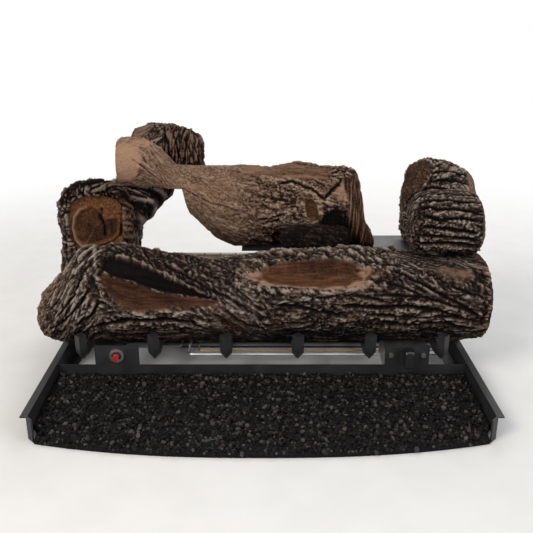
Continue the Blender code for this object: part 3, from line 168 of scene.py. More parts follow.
# A mesh object from points, the corner list of all faces and the corner count of each face
def arrayPiece(name, points, loops, counts, values=None, smooth=True):
    mesh = bpy.data.meshes.new(name)
    mesh.vertices.add(len(points))
    mesh.vertices.foreach_set("co", np.asarray(points, np.float32).ravel())
    mesh.loops.add(len(loops))
    mesh.loops.foreach_set("vertex_index", np.asarray(loops, np.int32))
    starts = np.concatenate([[0], np.cumsum(counts)[:-1]])
    mesh.polygons.add(len(counts))
    mesh.polygons.foreach_set("loop_start", starts.astype(np.int32))
    mesh.polygons.foreach_set("loop_total", np.asarray(counts, np.int32))
    mesh.polygons.foreach_set("use_smooth", np.full(len(counts), smooth))
    mesh.update(calc_edges=True)
    mesh.validate()
    for key, value in (values or {}).items():
        attribute = mesh.attributes.new(key, "FLOAT", "POINT")
        attribute.data.foreach_set("value", np.asarray(value, np.float32))
    piece = bpy.data.objects.new(name, mesh)
    bpy.context.scene.collection.objects.link(piece)
    return piece


# Gives a piece its material and its body and hides the CAD nodes that it stands for; slot is not used
def dress(piece, material, body, slot, *nodes):
    piece.data.materials.clear()
    piece.data.materials.append(material)
    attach(piece, body)
    if nodes:
        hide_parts(*nodes)
    return piece


# The mean of each run of values along the first axis, weighted by a bell of that width in
# samples. Past both ends the values go on as they came, turned about the last one.
def evened(values, width):
    reach = max(1, int(3 * width))
    offsets = np.arange(-reach, reach + 1)
    weights = np.exp(-0.5 * (offsets / width) ** 2)
    weights /= weights.sum()
    before, after = 2 * values[:1] - values[reach:0:-1], 2 * values[-1:] - values[-2:-reach - 2:-1]
    padded = np.concatenate([before, values, after])
    return sum(padded[k:k + len(values)] * weight for k, weight in enumerate(weights))


lower = 0.03  # share of a log's height that its bottom goes lower, for the cut that flattens it


# Log sections as the frame has them: place, top and bottom over the floor as shares of the
# height, back of the middle line and half depth as shares of the depth. Each row becomes
# (along, across, up, half across, half up) in metres.
def lyingRows(look, floor, shares):
    place, top, bottom, back, half = np.array(shares, float).T
    low = floor + look["height"] * (bottom - lower)
    high = floor + look["height"] * top
    along = look["left"] + look["length"] * place
    across = look["middle"] + look["depth"] * back
    return np.stack([along, across, (low + high) / 2, look["depth"] * half, (high - low) / 2], 1)


# A log's smooth form: ellipses run along its axis and shrink to a point at both end faces.
# A point is (along, across - cos(angle) half across, up + sin(angle) half up), with the angle
# from -90 degrees, underneath, through 0, in front, to 90, on top. dense is an angle in degrees
# and how much finer the columns are there. outline scales each radius, even rounds the sections
# into each other over that many metres, and radius is the log's usual one, for its patterns.
def logForm(rows, steps, around, radius, dense, outline=None, even=0.004):
    ends = rows[[0, -1]].copy()
    ends[:, 3:] = 0
    rows = np.concatenate([ends[:1], rows, ends[1:]])
    walked = np.hypot(np.diff(rows[:, 0]), np.diff(rows[:, 3] + rows[:, 4]) / 2)
    walk = np.concatenate([[0], np.cumsum(walked)])
    samples = np.linspace(0, walk[-1], steps + 2)
    table = np.stack([np.interp(samples, walk, rows[:, k]) for k in range(5)], 1)
    table = evened(table, even / (walk[-1] / steps))
    table[:, 3:] = np.maximum(table[:, 3:], 0)
    table[[0, -1], 3:] = 0
    fine = np.linspace(-math.pi / 2, 1.5 * math.pi, 2000)
    weight = 1 + dense[1] * (0.5 + 0.5 * np.cos(fine - math.radians(dense[0])))
    share = np.concatenate([[0], np.cumsum((weight[1:] + weight[:-1]) / 2)])
    angles = np.interp(np.arange(around) / around, share / share[-1], fine)
    along, across, up, halfAcross, halfUp = [table[1:-1, k, None] for k in range(5)]
    place = (along - rows[0, 0]) / (rows[-1, 0] - rows[0, 0])
    scale = np.ones((steps, around)) if outline is None else outline(place, angles[None])
    grid = np.stack(
        [
            np.broadcast_to(along, scale.shape),
            across - np.cos(angles) * halfAcross * scale,
            up + np.sin(angles) * halfUp * scale,
        ],
        2,
    )
    middle = np.broadcast_to(np.stack([along, across, up], 2), grid.shape)
    turns = np.broadcast_to(angles, scale.shape)
    return {"grid": grid, "middle": middle, "angles": turns, "along": grid[..., 0], "radius": radius}


# Outward directions of a grid: the cross product of its steps along and round
def gridNormals(grid):
    alongStep = np.gradient(grid, axis=0)
    roundStep = np.roll(grid, -1, axis=1) - np.roll(grid, 1, axis=1)
    normals = np.cross(alongStep, roundStep)
    return normals / np.maximum(np.linalg.norm(normals, axis=2, keepdims=True), 1e-12)


# Cuts a log flat. A cut is (normal across, normal up, offset, from, to): between from and to,
# points past the plane go straight back onto it. Beyond them it leaves steeply, 6 to 1.
def cutFlat(grid, cuts):
    along, across, up = grid[..., 0], grid[..., 1].copy(), grid[..., 2].copy()
    for normalAcross, normalUp, offset, start, end in cuts:
        beyond = np.maximum(np.maximum(start - along, along - end), 0)
        past = np.maximum(normalAcross * across + normalUp * up - offset - 6 * beyond, 0)
        across -= past * normalAcross
        up -= past * normalUp
    return np.stack([along, across, up], 2)


endless = (-9.0, 9.0)  # metres along, for a cut that runs the whole log


# Noise along a log: its place along the axis is squeezed by stretch, so that a pattern runs
# lengthwise, and the section turns by tan(slant) / radius per metre, so that it winds round
# the log. A positive slant rises towards the log's far end on the front side.
def grain(form, size, stretch, slant, seed, octaves=1, wander=0.0):
    offset = form["grid"] - form["middle"]
    along = form["along"]
    turn = math.tan(math.radians(slant)) * (along - along.mean()) / form["radius"]
    across = np.cos(turn) * offset[..., 1] - np.sin(turn) * offset[..., 2]
    up = np.sin(turn) * offset[..., 1] + np.cos(turn) * offset[..., 2]
    points = np.stack([along / stretch, across, up], 2).reshape(-1, 3) / size + 31.7 * (seed + 1)
    if wander:
        points = warped(points, wander, 2.5, seed + 50)
    return layeredNoise(points, octaves, seed).reshape(along.shape)


# Distance from points to a line of (x, y) corners in the same unit, and how far along the line
# the nearest point is, 0 to 1
def lineDistance(x, y, corners):
    marks = np.array(corners, float)
    lengths = np.hypot(*np.diff(marks, axis=0).T)
    passed = 0.0
    nearest, share = np.full(x.shape, np.inf), np.zeros(x.shape)
    for start, end, length in zip(marks, marks[1:], lengths):
        step = end - start
        part = np.clip(((x - start[0]) * step[0] + (y - start[1]) * step[1]) / length**2, 0, 1)
        gone = np.hypot(x - start[0] - part * step[0], y - start[1] - part * step[1])
        closer = gone < nearest
        nearest = np.where(closer, gone, nearest)
        share = np.where(closer, (passed + part * length) / lengths.sum(), share)
        passed += length
    return nearest, share


# Distance to the border of a shape of (x, y) corners, positive inside it, where a line to the
# far right crosses the border an odd number of times
def shapeDepth(x, y, corners):
    closed = [*corners, corners[0]]
    inside = np.zeros(x.shape, bool)
    for (x0, y0), (x1, y1) in zip(closed, closed[1:]):
        inside ^= ((y0 > y) != (y1 > y)) & (x < (x1 - x0) * (y - y0) / ((y1 - y0) or 1e-9) + x0)
    distance = lineDistance(x, y, closed)[0]
    return np.where(inside, distance, -distance)


# A log's surface unrolled, in metres, and (mm along, degrees round) corners on it
def unrolled(form, corners):
    marks = [(place * mm, math.radians(angle) * form["radius"]) for place, angle in corners]
    return form["along"], form["angles"] * form["radius"], marks


# A groove or ridge drawn on a log along such corners: a bell across, full in the middle, fading
# over the first and the last 12 hundredths of its length
def stroke(form, corners, width, wobble):
    distance, share = lineDistance(*unrolled(form, corners))
    fade = ease(0, 0.12, share + 0.02) * ease(0, 0.12, 1.02 - share)
    return bell(distance + wobble, width) * fade


# Distance in metres to the border of a patch of such corners, positive inside it
def patchDepth(form, corners):
    return shapeDepth(*unrolled(form, corners))


# Bark height in metres, none on average. Noises are folded at zero, |noise|, which leaves sharp
# valleys between round ridges: long strands, fine strands and small knobs. A slow noise says
# where the strands run deep and where the knobs take over. Lumps and grit are added as they are.
def barkRelief(form, look, seed, slant=None):
    slant = look["slant"] if slant is None else slant
    broad = grain(form, look["lumpSize"], 2.0, slant, seed, 2)
    deep = 0.35 + 0.65 * ease(-0.45, 0.35, grain(form, 0.026, 1.6, slant, seed + 5))
    strand = np.abs(grain(form, look["strandSize"], look["stretch"], slant, seed + 11, 2, 0.9))
    fine = np.abs(grain(form, look["strandSize"] * 0.42, look["stretch"] * 0.7, slant, seed + 17, 2, 0.8))
    knob = np.abs(grain(form, look["knobSize"], 1.35, slant, seed + 23, 2, 0.7))
    grit = grain(form, look["gritSize"], 1.2, slant, seed + 37, 2)
    height = look["lump"] * broad + look["strand"] * deep * np.minimum(strand * look["sharp"], 1)
    height += 0.36 * look["strand"] * np.minimum(fine * 2.6, 1)
    height += look["knob"] * (1.5 - deep) * np.minimum(knob * 2.6, 1) + look["grit"] * grit
    return height - height.mean()


# Values evened over a distance in metres in both directions of a log's grid, round it too
def evenedOver(form, values, distance):
    around = values.shape[1]
    stepAlong = np.linalg.norm(np.diff(form["grid"], axis=0), axis=2).mean()
    stepRound = np.linalg.norm(form["grid"][:, 1:] - form["grid"][:, :-1], axis=2).mean()
    smoothRows = evened(values, max(0.6, distance / stepAlong))
    half = around // 2
    wrapped = np.concatenate([smoothRows[:, -half:], smoothRows, smoothRows[:, :half]], axis=1)
    return evened(wrapped.T, max(0.6, distance / stepRound)).T[:, half:half + around]


# Paint tone from the height: 0 in a hollow and 1 on a ridge, by how far a point stands over
# its surroundings, near and wide, in metres
def ridgeTone(form, height, near=0.0022, wide=0.0060):
    fine = height - evenedOver(form, height, 0.0035)
    broad = height - evenedOver(form, height, 0.012)
    return np.clip(0.40 + 0.44 * fine / near + 0.56 * broad / wide, 0, 1.1)


# 1 inside a patch of such corners, easing over edge metres on both sides of its border
def patchShare(form, corners, wobble, edge):
    return ease(-edge, edge, patchDepth(form, corners) + wobble)


# Height with a log's marks: grooves sink and ridges rise, each (corners, half width, depth in mm)
def marked(form, look, height, wobble):
    for key, sign in (("grooves", -1), ("ridges", 1)):
        for corners, width, depth in look.get(key, ()):
            height = height + sign * depth * mm * stroke(form, corners, width * mm, wobble)
    return height


# Strands that run round the log: folded noise, narrow along the axis and long round the section
def roundStrands(form, width, length, seed):
    offset = form["grid"] - form["middle"]
    points = np.stack([form["along"] / width, offset[..., 1] / length, offset[..., 2] / length], 2)
    points = warped(points.reshape(-1, 3) + 13.3 * seed, 0.5, 2.0, seed)
    return np.minimum(np.abs(layeredNoise(points, 2, seed)) * 2.4, 1).reshape(form["along"].shape)


# Builds a log piece: moves each point along its outward direction by height, cuts the seats
# flat again, and keeps the values at each vertex for the material
def logPiece(name, form, height, values, cuts, axis, material, body, slot, *nodes):
    grid = form["grid"] + gridNormals(form["grid"]) * height[..., None]
    grid = cutFlat(grid, cuts)
    poles = np.stack([grid[0].mean(0), grid[-1].mean(0)])
    if axis == "Y":
        grid, poles = grid[..., [1, 0, 2]], poles[:, [1, 0, 2]]
    ends = {key: np.concatenate([v.ravel(), [v[0].mean(), v[-1].mean()]]) for key, v in values.items()}
    piece = gridPiece(name, grid, poles, ends, flip=axis == "Y")
    dress(piece, material, body, slot, *nodes)
    print(name, len(piece.data.polygons), "faces")
    return piece


# Fired and painted ceramic: near-black washes in the cracks, ridges brushed a dusty grey-tan,
# bare wood colours where the bark is split off, soot and rust-brown scorching near the flames.
# The soot's near-black also paints shade under the logs and in the hollow under the front log's slab.
ceramicLook = {
    "crevice": "#0c0a09",
    "shade": "#241d19",
    "face": "#463b34",
    "ridge": "#776b60",
    "dust": "#9c9083",
    "warm": "#74553e",
    "woodDark": "#2f1b10",
    "woodMid": "#4f3220",
    "woodLight": "#6f4c35",
    "pale": "#937560",
    "scorch": "#40271b",
    "sootAndShade": "#0b0908",
}
# Smoother grey-brown bark with brown wood where it is split
woodLook = {
    **ceramicLook,
    "shade": "#33261e", "face": "#685344", "ridge": "#8e7866", "dust": "#a8947f", "woodDark": "#42291a",
    "woodMid": "#6e4d36", "woodLight": "#8f6c52", "pale": "#a27f68",
}
leftLook = {**ceramicLook, "woodDark": "#3d2413", "woodMid": "#5f3d26", "woodLight": "#7f583b"}


# The ceramic's paint follows the numbers kept at each vertex: tone, from a crack to a ridge, and
# the shares of bare wood, soot with painted shade, rust-brown scorching, and pale paint with a
# painted highlight on the middle log's split strands
def ceramicMaterial(name, look, grainAxis=(14, 1, 1)):
    material, tree, shader, place = newMaterial(name, 0.09)
    tone, wood, charAndShade, rust, pale = [
        addNode(tree, "Attribute", attribute_name=key).outputs["Fac"]
        for key in ("tone", "wood", "charAndShade", "rust", "pale")
    ]
    # Grit, broad patches, the net's noise, and timber grain drawn out along the log
    lengthwise = addNode(tree, "Mapping", {"Vector": place, "Scale": [1 / stretch for stretch in grainAxis]})
    speckle, patch, net, streak = [
        addNode(tree, "TexNoise", {
            "Vector": vector, "Scale": 1 / (size * mm), "Detail": detail,
            "Roughness": rough, "Distortion": bend,
        })
        for vector, size, detail, rough, bend in (
            (place, 1.7, 5, 0.7, 0), (place, 26, 3, 0.55, 0), (place, 4.2, 2, 0.5, 0.8),
            (lengthwise, 2.2, 5, 0.6, 0.4),
        )
    ]
    # Thin pale lines where the net's warped noise passes its middle value
    net = addNode(tree, "Math", (net, 0.5), operation="SUBTRACT")
    net = addNode(tree, "Math", (net,), operation="ABSOLUTE")
    net = addNode(tree, "Math", (net, -17, 1), operation="MULTIPLY_ADD", use_clamp=True)
    level = addNode(tree, "Math", (speckle, 1.15, -0.575), operation="MULTIPLY_ADD")
    level = addNode(tree, "Math", (net, 0.13, level), operation="MULTIPLY_ADD")
    level = addNode(tree, "Math", (tone, level), operation="ADD")
    barkColours = [look[key] for key in ("crevice", "shade", "face", "ridge", "dust")]
    timberColours = [look[key] for key in ("woodDark", "woodMid", "woodLight")]
    colour = setStops(addNode(tree, "ValToRGB", (level,)), (0.12, 0.34, 0.58, 0.84, 1.0), barkColours)
    timber = setStops(addNode(tree, "ValToRGB", (streak,)), (0.32, 0.52, 0.74), timberColours)
    lit = addNode(tree, "MapRange", {"Value": level, "From Min": 0.12, "From Max": 0.75})
    warmth = addNode(tree, "MapRange", {"Value": patch, "From Min": 0.45, "From Max": 0.72, "To Max": 0.36})
    warmth = addNode(tree, "Math", (warmth, tone), operation="MULTIPLY")
    scorching = addNode(tree, "Math", (rust, 0.85), operation="MULTIPLY")
    # Soot and painted shade alike, broken up by the grit
    sootAndShade = addNode(tree, "Math", (speckle, 0.45), operation="ADD")
    sootAndShade = addNode(tree, "Math", (charAndShade, sootAndShade), operation="MULTIPLY", use_clamp=True)
    # Each layer over the bark: its share, and its colours in the hollows and on the ridges
    for share, low, high in (
        (warmth, look["warm"], look["warm"]),
        (wood, look["crevice"], timber),
        (pale, look["woodDark"], look["pale"]),
        (scorching, look["crevice"], look["scorch"]),
        (sootAndShade, look["sootAndShade"], look["sootAndShade"]),
    ):
        low, high = [hexColour(end) if isinstance(end, str) else end for end in (low, high)]
        layer = addNode(tree, "Mix", {0: lit, 6: low, 7: high}, data_type="RGBA").outputs[2]
        colour = addNode(tree, "Mix", {0: share, 6: colour, 7: layer}, data_type="RGBA").outputs[2]
    dull = addNode(tree, "MapRange", {"Value": level, "To Min": 0.97, "To Max": 0.78})
    rough = addNode(tree, "Math", (net, 0.25, speckle), operation="MULTIPLY_ADD")
    bare = addNode(tree, "Math", (1.25, wood), operation="SUBTRACT")
    rough = addNode(tree, "Math", (rough, bare), operation="MULTIPLY")
    rough = addNode(tree, "Math", (streak, 0.45, rough), operation="MULTIPLY_ADD")
    finishShader(tree, shader, colour, dull, rough, 0.9, 0.0014)
    return material


barkCeramic = ceramicMaterial("Bark ceramic", ceramicLook)
barkCeramicDeep = ceramicMaterial("Bark ceramic front to back", leftLook, (1, 14, 1))
woodCeramic = ceramicMaterial("Split wood ceramic", woodLook)
print("ceramic materials")


# Dents the frame gives its logs: (place share, angle, half length share, half angle, depth share)
def dented(form, dents):
    left, right = form["along"].min(), form["along"].max()
    share = (form["along"] - left) / (right - left)
    depth = np.zeros(share.shape)
    for place, angle, reachAlong, reachAngle, deep in dents:
        turn = (form["angles"] - math.radians(angle) + math.pi) % turnFull - math.pi
        reach = ((share - place) / reachAlong) ** 2 + (turn / math.radians(reachAngle)) ** 2
        depth += deep * np.maximum(0, 1 - reach) ** 0.9
    return depth * form["radius"]


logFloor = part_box("front_log")[0].z
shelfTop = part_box("rear_shelf")[1].z
clear = 0.0003  # the frame's gap between pieces that lie on each other
barkLook = {  # sizes are the pattern's along the log, the others its height or depth, in metres
    "lumpSize": 0.026, "lump": 0.0044, "strandSize": 0.0125, "stretch": 1.9, "strand": 0.0050, "sharp": 2.2,
    "knobSize": 0.0050, "knob": 0.0024, "gritSize": 0.0026, "grit": 0.0008, "slant": -30,
}

frontLog = {
    "left": -0.307,
    "length": 0.614,
    "height": 0.127,
    "middle": -0.070,
    "depth": 0.114,
    "steps": 462,
    "around": 212,
    "ledge": (0.186, 0.158),
    "behind": -0.013,
    "radius": 0.062,
    "fingerDepth": 0.0156,
    "fingerRoom": 0.0004,
    "behindLeftLog": -0.160,  # the left log stands behind the front log up to here
    # Depths and heights of what is marked below, in metres
    "lensDepth": 0.0055,
    "lensRim": 0.0010,
    "shadeDepth": 0.0085,
    "bowlDepth": 0.0075,
    "bowlRim": 0.0018,
    "bowlRipple": 0.00035,
    "scarDepth": 0.0030,
    "slabKnobs": 0.0036,
    "netHeight": 0.0011,
    "shares": (
        (0.000, 0.38, 0.18, -0.06, 0.16),
        (0.008, 0.50, 0.08, -0.04, 0.28),
        (0.030, 0.61, 0.02, -0.02, 0.38),
        (0.050, 0.71, 0.00, -0.01, 0.42),
        (0.070, 0.82, 0.00, 0.00, 0.44),
        (0.086, 0.95, 0.00, 0.00, 0.46),
        (0.108, 1.04, 0.00, 0.00, 0.48),
        (0.140, 0.99, 0.00, 0.00, 0.49),
        (0.165, 1.03, 0.00, 0.00, 0.50),
        (0.200, 1.01, 0.00, 0.00, 0.50),
        (0.287, 0.95, 0.00, 0.00, 0.50),
        (0.384, 0.85, 0.00, 0.00, 0.50),
        (0.467, 0.91, 0.00, 0.00, 0.50),
        (0.588, 0.97, 0.00, 0.00, 0.50),
        (0.692, 1.01, 0.00, 0.00, 0.50),
        (0.777, 0.97, 0.00, 0.00, 0.50),
        (0.804, 0.97, 0.00, 0.08, 0.58),
        (0.960, 0.95, 0.00, 0.10, 0.60),
        (0.988, 0.92, 0.01, 0.10, 0.58),
        (1.000, 0.87, 0.04, 0.10, 0.52),
    ),
    "dents": ((0.283, 22, 0.150, 24, 0.12), (0.609, 42, 0.135, 22, 0.10), (0.905, 52, 0.060, 16, 0.03)),
    # Places on the log, as (mm along, degrees round), read off the photograph
    "marks": {
        "lens": [(-213, 47), (-199, 39), (-167, 34), (-136, 25), (-105, 24), (-74, 25), (-53, 19), (-74, 12),
                 (-105, 8), (-137, 1), (-163, -3), (-186, 3), (-204, 15), (-211, 31)],
        "shade": [(-213, 47), (-213, 62), (-200, 69), (-178, 64), (-148, 52), (-107, 39), (-74, 29),
                  (-56, 20), (-82, 27), (-105, 25), (-136, 26), (-167, 35), (-199, 39)],
        "bowl": [(-18, 45), (0, 60), (24, 67), (51, 69), (91, 67), (121, 58), (150, 45), (133, 31), (115, 25),
                 (89, 24), (63, 26), (37, 30), (8, 35)],
        "scar": [(220, 65), (252, 64), (279, 56), (285, 43), (263, 37), (232, 45)],
        "scorched": [(-50, 8), (-29, -5), (-21, -26), (-43, -38), (-54, -11)],
        "slab": [(-205, 100), (-196, 72), (-148, 55), (-107, 42), (-60, 22), (-36, 40), (-30, 100)],
        "grooves": [  # corners, half width and depth in mm
            ([(169, 54), (199, 38), (236, 21), (263, 8), (288, -7)], 2.2, 5.2),
            ([(152, 39), (194, 26), (220, 15), (273, 1)], 1.5, 3.2),
            ([(197, 61), (222, 48), (247, 32), (280, 20)], 1.6, 3.4),
            ([(140, 18), (172, 20), (214, 17), (247, 9)], 1.6, 3.6),
            ([(104, 5), (142, 3), (194, 6), (234, 0), (262, -7)], 2.5, 5.4),
            ([(132, -5), (203, -8), (248, -8), (288, -13)], 1.7, 3.6),
            ([(150, -16), (196, -20), (236, -17), (280, -25)], 2.2, 4.6),
            ([(20, 9), (47, 6), (71, -1), (106, -9)], 2.3, 4.6),
            ([(-232, -27), (-180, -15), (-137, -11), (-95, -11), (-66, -25)], 2.4, 5.0),
            ([(-245, 43), (-262, 33), (-284, 20)], 2.0, 4.6),
            ([(-234, 40), (-247, 16), (-272, 3)], 1.9, 4.4),
            ([(-225, 28), (-239, 3), (-262, -9), (-288, -16)], 1.9, 4.2),
            ([(-214, 9), (-226, -8), (-250, -24)], 1.7, 3.8),
            ([(-177, 100), (-123, 61), (-81, 44), (-44, 24), (-22, 7)], 1.7, 3.2),
            ([(-136, 104), (-93, 69), (-52, 50), (-16, 19), (4, -3)], 1.6, 3.0),
            ([(-90, 106), (-49, 66), (-28, 50)], 1.5, 2.6),
            ([(-40, -3), (-20, -16), (8, -29)], 1.6, 3.0),
        ],
        "ridges": [
            ([(-231, 104), (-220, 56), (-215, 33), (-208, 13), (-190, -1), (-163, -9), (-130, -7)], 3.4, 2.8),
            ([(-201, 71), (-181, 67), (-148, 56), (-107, 42), (-72, 30)], 3.0, 2.2),
            ([(-120, -3), (-96, 4), (-77, 2), (-73, -6), (-90, -15)], 2.2, 2.0),
            ([(-20, 43), (2, 57), (26, 64), (53, 66), (93, 65), (122, 58), (155, 45)], 3.0, 2.4),
            ([(155, 44), (135, 28), (112, 21), (88, 20), (60, 23), (34, 26), (4, 31)], 3.4, 2.2),
            ([(297, 64), (301, 33), (300, 1), (297, -23)], 3.2, 2.4),
        ],
    },
}


# The front log's cuts: its seat on the grate, the fingers' upper back edges, the left log
# behind it, the log's rear limit and the ledge under the right log
def frontCuts(look):
    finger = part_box("grate_bar_1")
    corner = np.array([finger[0].y + look["fingerDepth"], finger[1].z])
    toCorner = corner - np.array([look["middle"], logFloor + look["height"] / 2])
    lean = toCorner / np.linalg.norm(toCorner)
    return [
        (0, -1, -logFloor, *endless),
        (lean[0], lean[1], float(lean @ corner) - clear - look["fingerRoom"], *endless),
        (1, 0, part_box("left_log")[0].y - clear, endless[0], look["behindLeftLog"]),
        (1, 0, look["behind"], *endless),
        (0, 1, look["ledge"][1], look["ledge"][0], endless[1]),
    ]


def makeFrontLog(look):
    rows = lyingRows(look, logFloor, look["shares"])
    form = logForm(rows, look["steps"], look["around"], look["radius"], dense=(34, 1.7))
    x, turn = form["along"] / mm, np.degrees(form["angles"])
    turn = np.where(turn > 200, turn - 360, turn)
    wobble = grain(form, 0.012, 1.5, 0, 5, 2) * 0.0022
    # Strands run down to the left on the left lobe, down to the right over the saddle and the
    # top of the right part, and level along the foot and under the second hollow
    lobe = 1 - ease(-232, -206, x + 6 * np.sin(turn / 17))
    level = ease(-215, -195, x) * (1 - ease(-75, -48, x)) * (1 - ease(-4, 10, turn))
    level += ease(0, 24, x) * (1 - ease(16, 28, turn - 0.02 * np.maximum(x - 120, 0)))
    level = np.clip(level, 0, 1)
    height = barkRelief(form, barkLook, 3) * (1 - lobe) * (1 - level)
    height += barkRelief(form, barkLook, 4, 52) * lobe
    height += barkRelief(form, {**barkLook, "stretch": 3.4}, 5, -3) * level * (1 - lobe)
    slab = patchShare(form, look["marks"]["slab"], wobble, 0.005)
    knobs = np.minimum(np.abs(grain(form, 0.0075, 1.15, -30, 41, 2, 0.8)) * 2.3, 1)
    height = height + slab * (look["slabKnobs"] * (knobs - 0.5) - 0.6 * height)
    height = marked(form, look["marks"], height, wobble * 0.6)
    # Thin raised lines, as a net over the saddle and the right part
    lines = 1 - np.minimum(np.abs(grain(form, 0.0120, 1.6, -30, 47, 1, 1.4)) * 7, 1)
    lines *= ease(-100, -60, x) * (0.45 + 0.55 * (1 - ease(-10, 20, x)))
    saddle = ease(-80, -60, x) * (1 - ease(-14, 6, x))
    endFace = np.maximum(ease(299, 305, x), ease(-301, -306, x))
    height = (height * (1 - 0.35 * saddle) + look["netHeight"] * lines) * (1 - 0.75 * endFace)
    tone = ridgeTone(form, height) + 0.08 * lobe - 0.13 * slab + 0.20 * lines + 0.05 * saddle
    lens, shade, bowl, scar = [
        patchDepth(form, look["marks"][key]) + wobble for key in ("lens", "shade", "bowl", "scar")
    ]
    # A scoop sinks smoothly from its border, its rim stands a little proud, and a few long
    # ripples run through it
    lensIn, bowlIn = ease(-0.0015, 0.0045, lens), ease(-0.0015, 0.0045, bowl)
    scarIn = ease(-0.003, 0.007, scar)
    smooth = np.maximum.reduce([lensIn, bowlIn, 0.8 * scarIn])
    # Painted shade: the hollow under the slab is sunk and also painted near black, through the tone, the wood
    # and the soot share
    slabShadow = ease(-0.0008, 0.0022, shade)
    streak = grain(form, 0.0034, 6.0, -8, 71, 2) * 0.00040 * (1 - 0.8 * bowlIn)
    streak += grain(form, 0.016, 2.6, -8, 73, 2) * 0.0011
    # The first scoop's grain follows its lower border, the second's runs down into it
    follow = np.sin(lens / 0.0019 + 1.6 * grain(form, 0.018, 2.0, -8, 75)) * 0.00032 * (1 - bowlIn)
    streak = streak + follow + (roundStrands(form, 0.0034, 0.030, 77) - 0.5) * 0.0006 * bowlIn
    ripple = np.sin(bowl / 0.0028 + 2.5 * grain(form, 0.02, 1.5, 0, 79)) * look["bowlRipple"]
    ripple *= ease(0.016, 0.002, bowl)
    height = height * (1 - smooth) * (1 - slabShadow) + streak * smooth + 2.0 * streak * slabShadow + ripple * bowlIn
    height += look["lensRim"] * bell(lens + 0.003, 0.003) + look["bowlRim"] * bell(bowl + 0.003, 0.0035)
    height -= look["shadeDepth"] * slabShadow + look["lensDepth"] * ease(0, 0.016, lens)
    height -= look["bowlDepth"] * ease(-0.001, 0.018, bowl)
    height -= look["scarDepth"] * ease(0, 0.012, scar)
    height -= dented(form, look["dents"])
    # Darker low on the front between the scoops and on the right part below its top; the underside darker
    # still, as painted shade
    tone -= 0.12 * ease(-5, 15, x) * (1 - ease(118, 140, x)) * (1 - ease(-2, 10, turn))
    tone -= 0.15 * ease(120, 150, x) * (1 - ease(40, 60, turn))
    tone -= 0.10 * (1 - ease(-34, -12, turn))
    # Tone of the smooth patches: the first scoop darker, as painted shade, and the second scoop's upper part
    # darker, as painted shade under its bark edge
    lit = 0.58 + 0.12 * bowlIn - 0.14 * lensIn + 260 * streak
    lit -= 0.34 * ease(10, 110, x) * bowlIn * ease(36, 58, turn)
    # Tan paint on the second scoop's ends and along its lower edge, and a little under the first
    endsOfBowl = np.maximum(ease(14, -8, x), ease(112, 134, x))
    rims = bell(bowl - 0.002, 0.0020 + 0.0070 * endsOfBowl) * (1 - ease(50, 58, turn))
    lensRim = bell(lens + 0.001, 0.0022) * ease(20, 8, turn)
    lensRim *= 0.4 + 0.6 * ease(-120, -90, x)
    blotch = ease(-0.5, 0.3, grain(form, 0.007, 1.5, 0, 93, 2))
    tone = np.clip(tone, 0, 1.1) * (1 - smooth) + smooth * lit + (0.44 * rims + 0.14 * lensRim) * blotch
    # Painted shade: the hollow under the slab goes near black
    tone = tone * (1 - 0.85 * slabShadow)
    wood = np.maximum.reduce([smooth - 0.35 * scarIn, 0.75 * slabShadow, 0.8 * endFace])
    pale = (0.95 * rims + 0.40 * lensRim) * blotch * (1 - slabShadow) + 0.40 * scarIn * blotch
    pale += 0.60 * ease(-280, -296, x) * blotch
    pale += 0.50 * ease(284, 292, x) * ease(0.25, 0.6, tone)
    pale = np.clip(pale, 0, 1) * (1 - 0.5 * endFace)
    scorched = patchShare(form, look["marks"]["scorched"], 2 * wobble, 0.005)
    stain = ease(0.1, 0.6, grain(form, 0.045, 1.5, 0, 91)) * (1 - smooth)
    rust = np.maximum.reduce([0.8 * scorched, 0.30 * stain, 0.25 * slab, 0.42 * lensIn])
    # The soot share as painted shade: near black in the hollow under the slab, and darker under the log
    charAndShade = 0.80 * slabShadow + 0.45 * (1 - ease(-62, -28, turn))
    values = {"tone": tone, "wood": wood, "charAndShade": charAndShade, "rust": rust, "pale": pale}
    logPiece(
        "frontLogSkin", form, height, values, frontCuts(look), "X", barkCeramic,
        "front_log_body", "bark_ceramic", "front_log",
    )


makeFrontLog(frontLog)


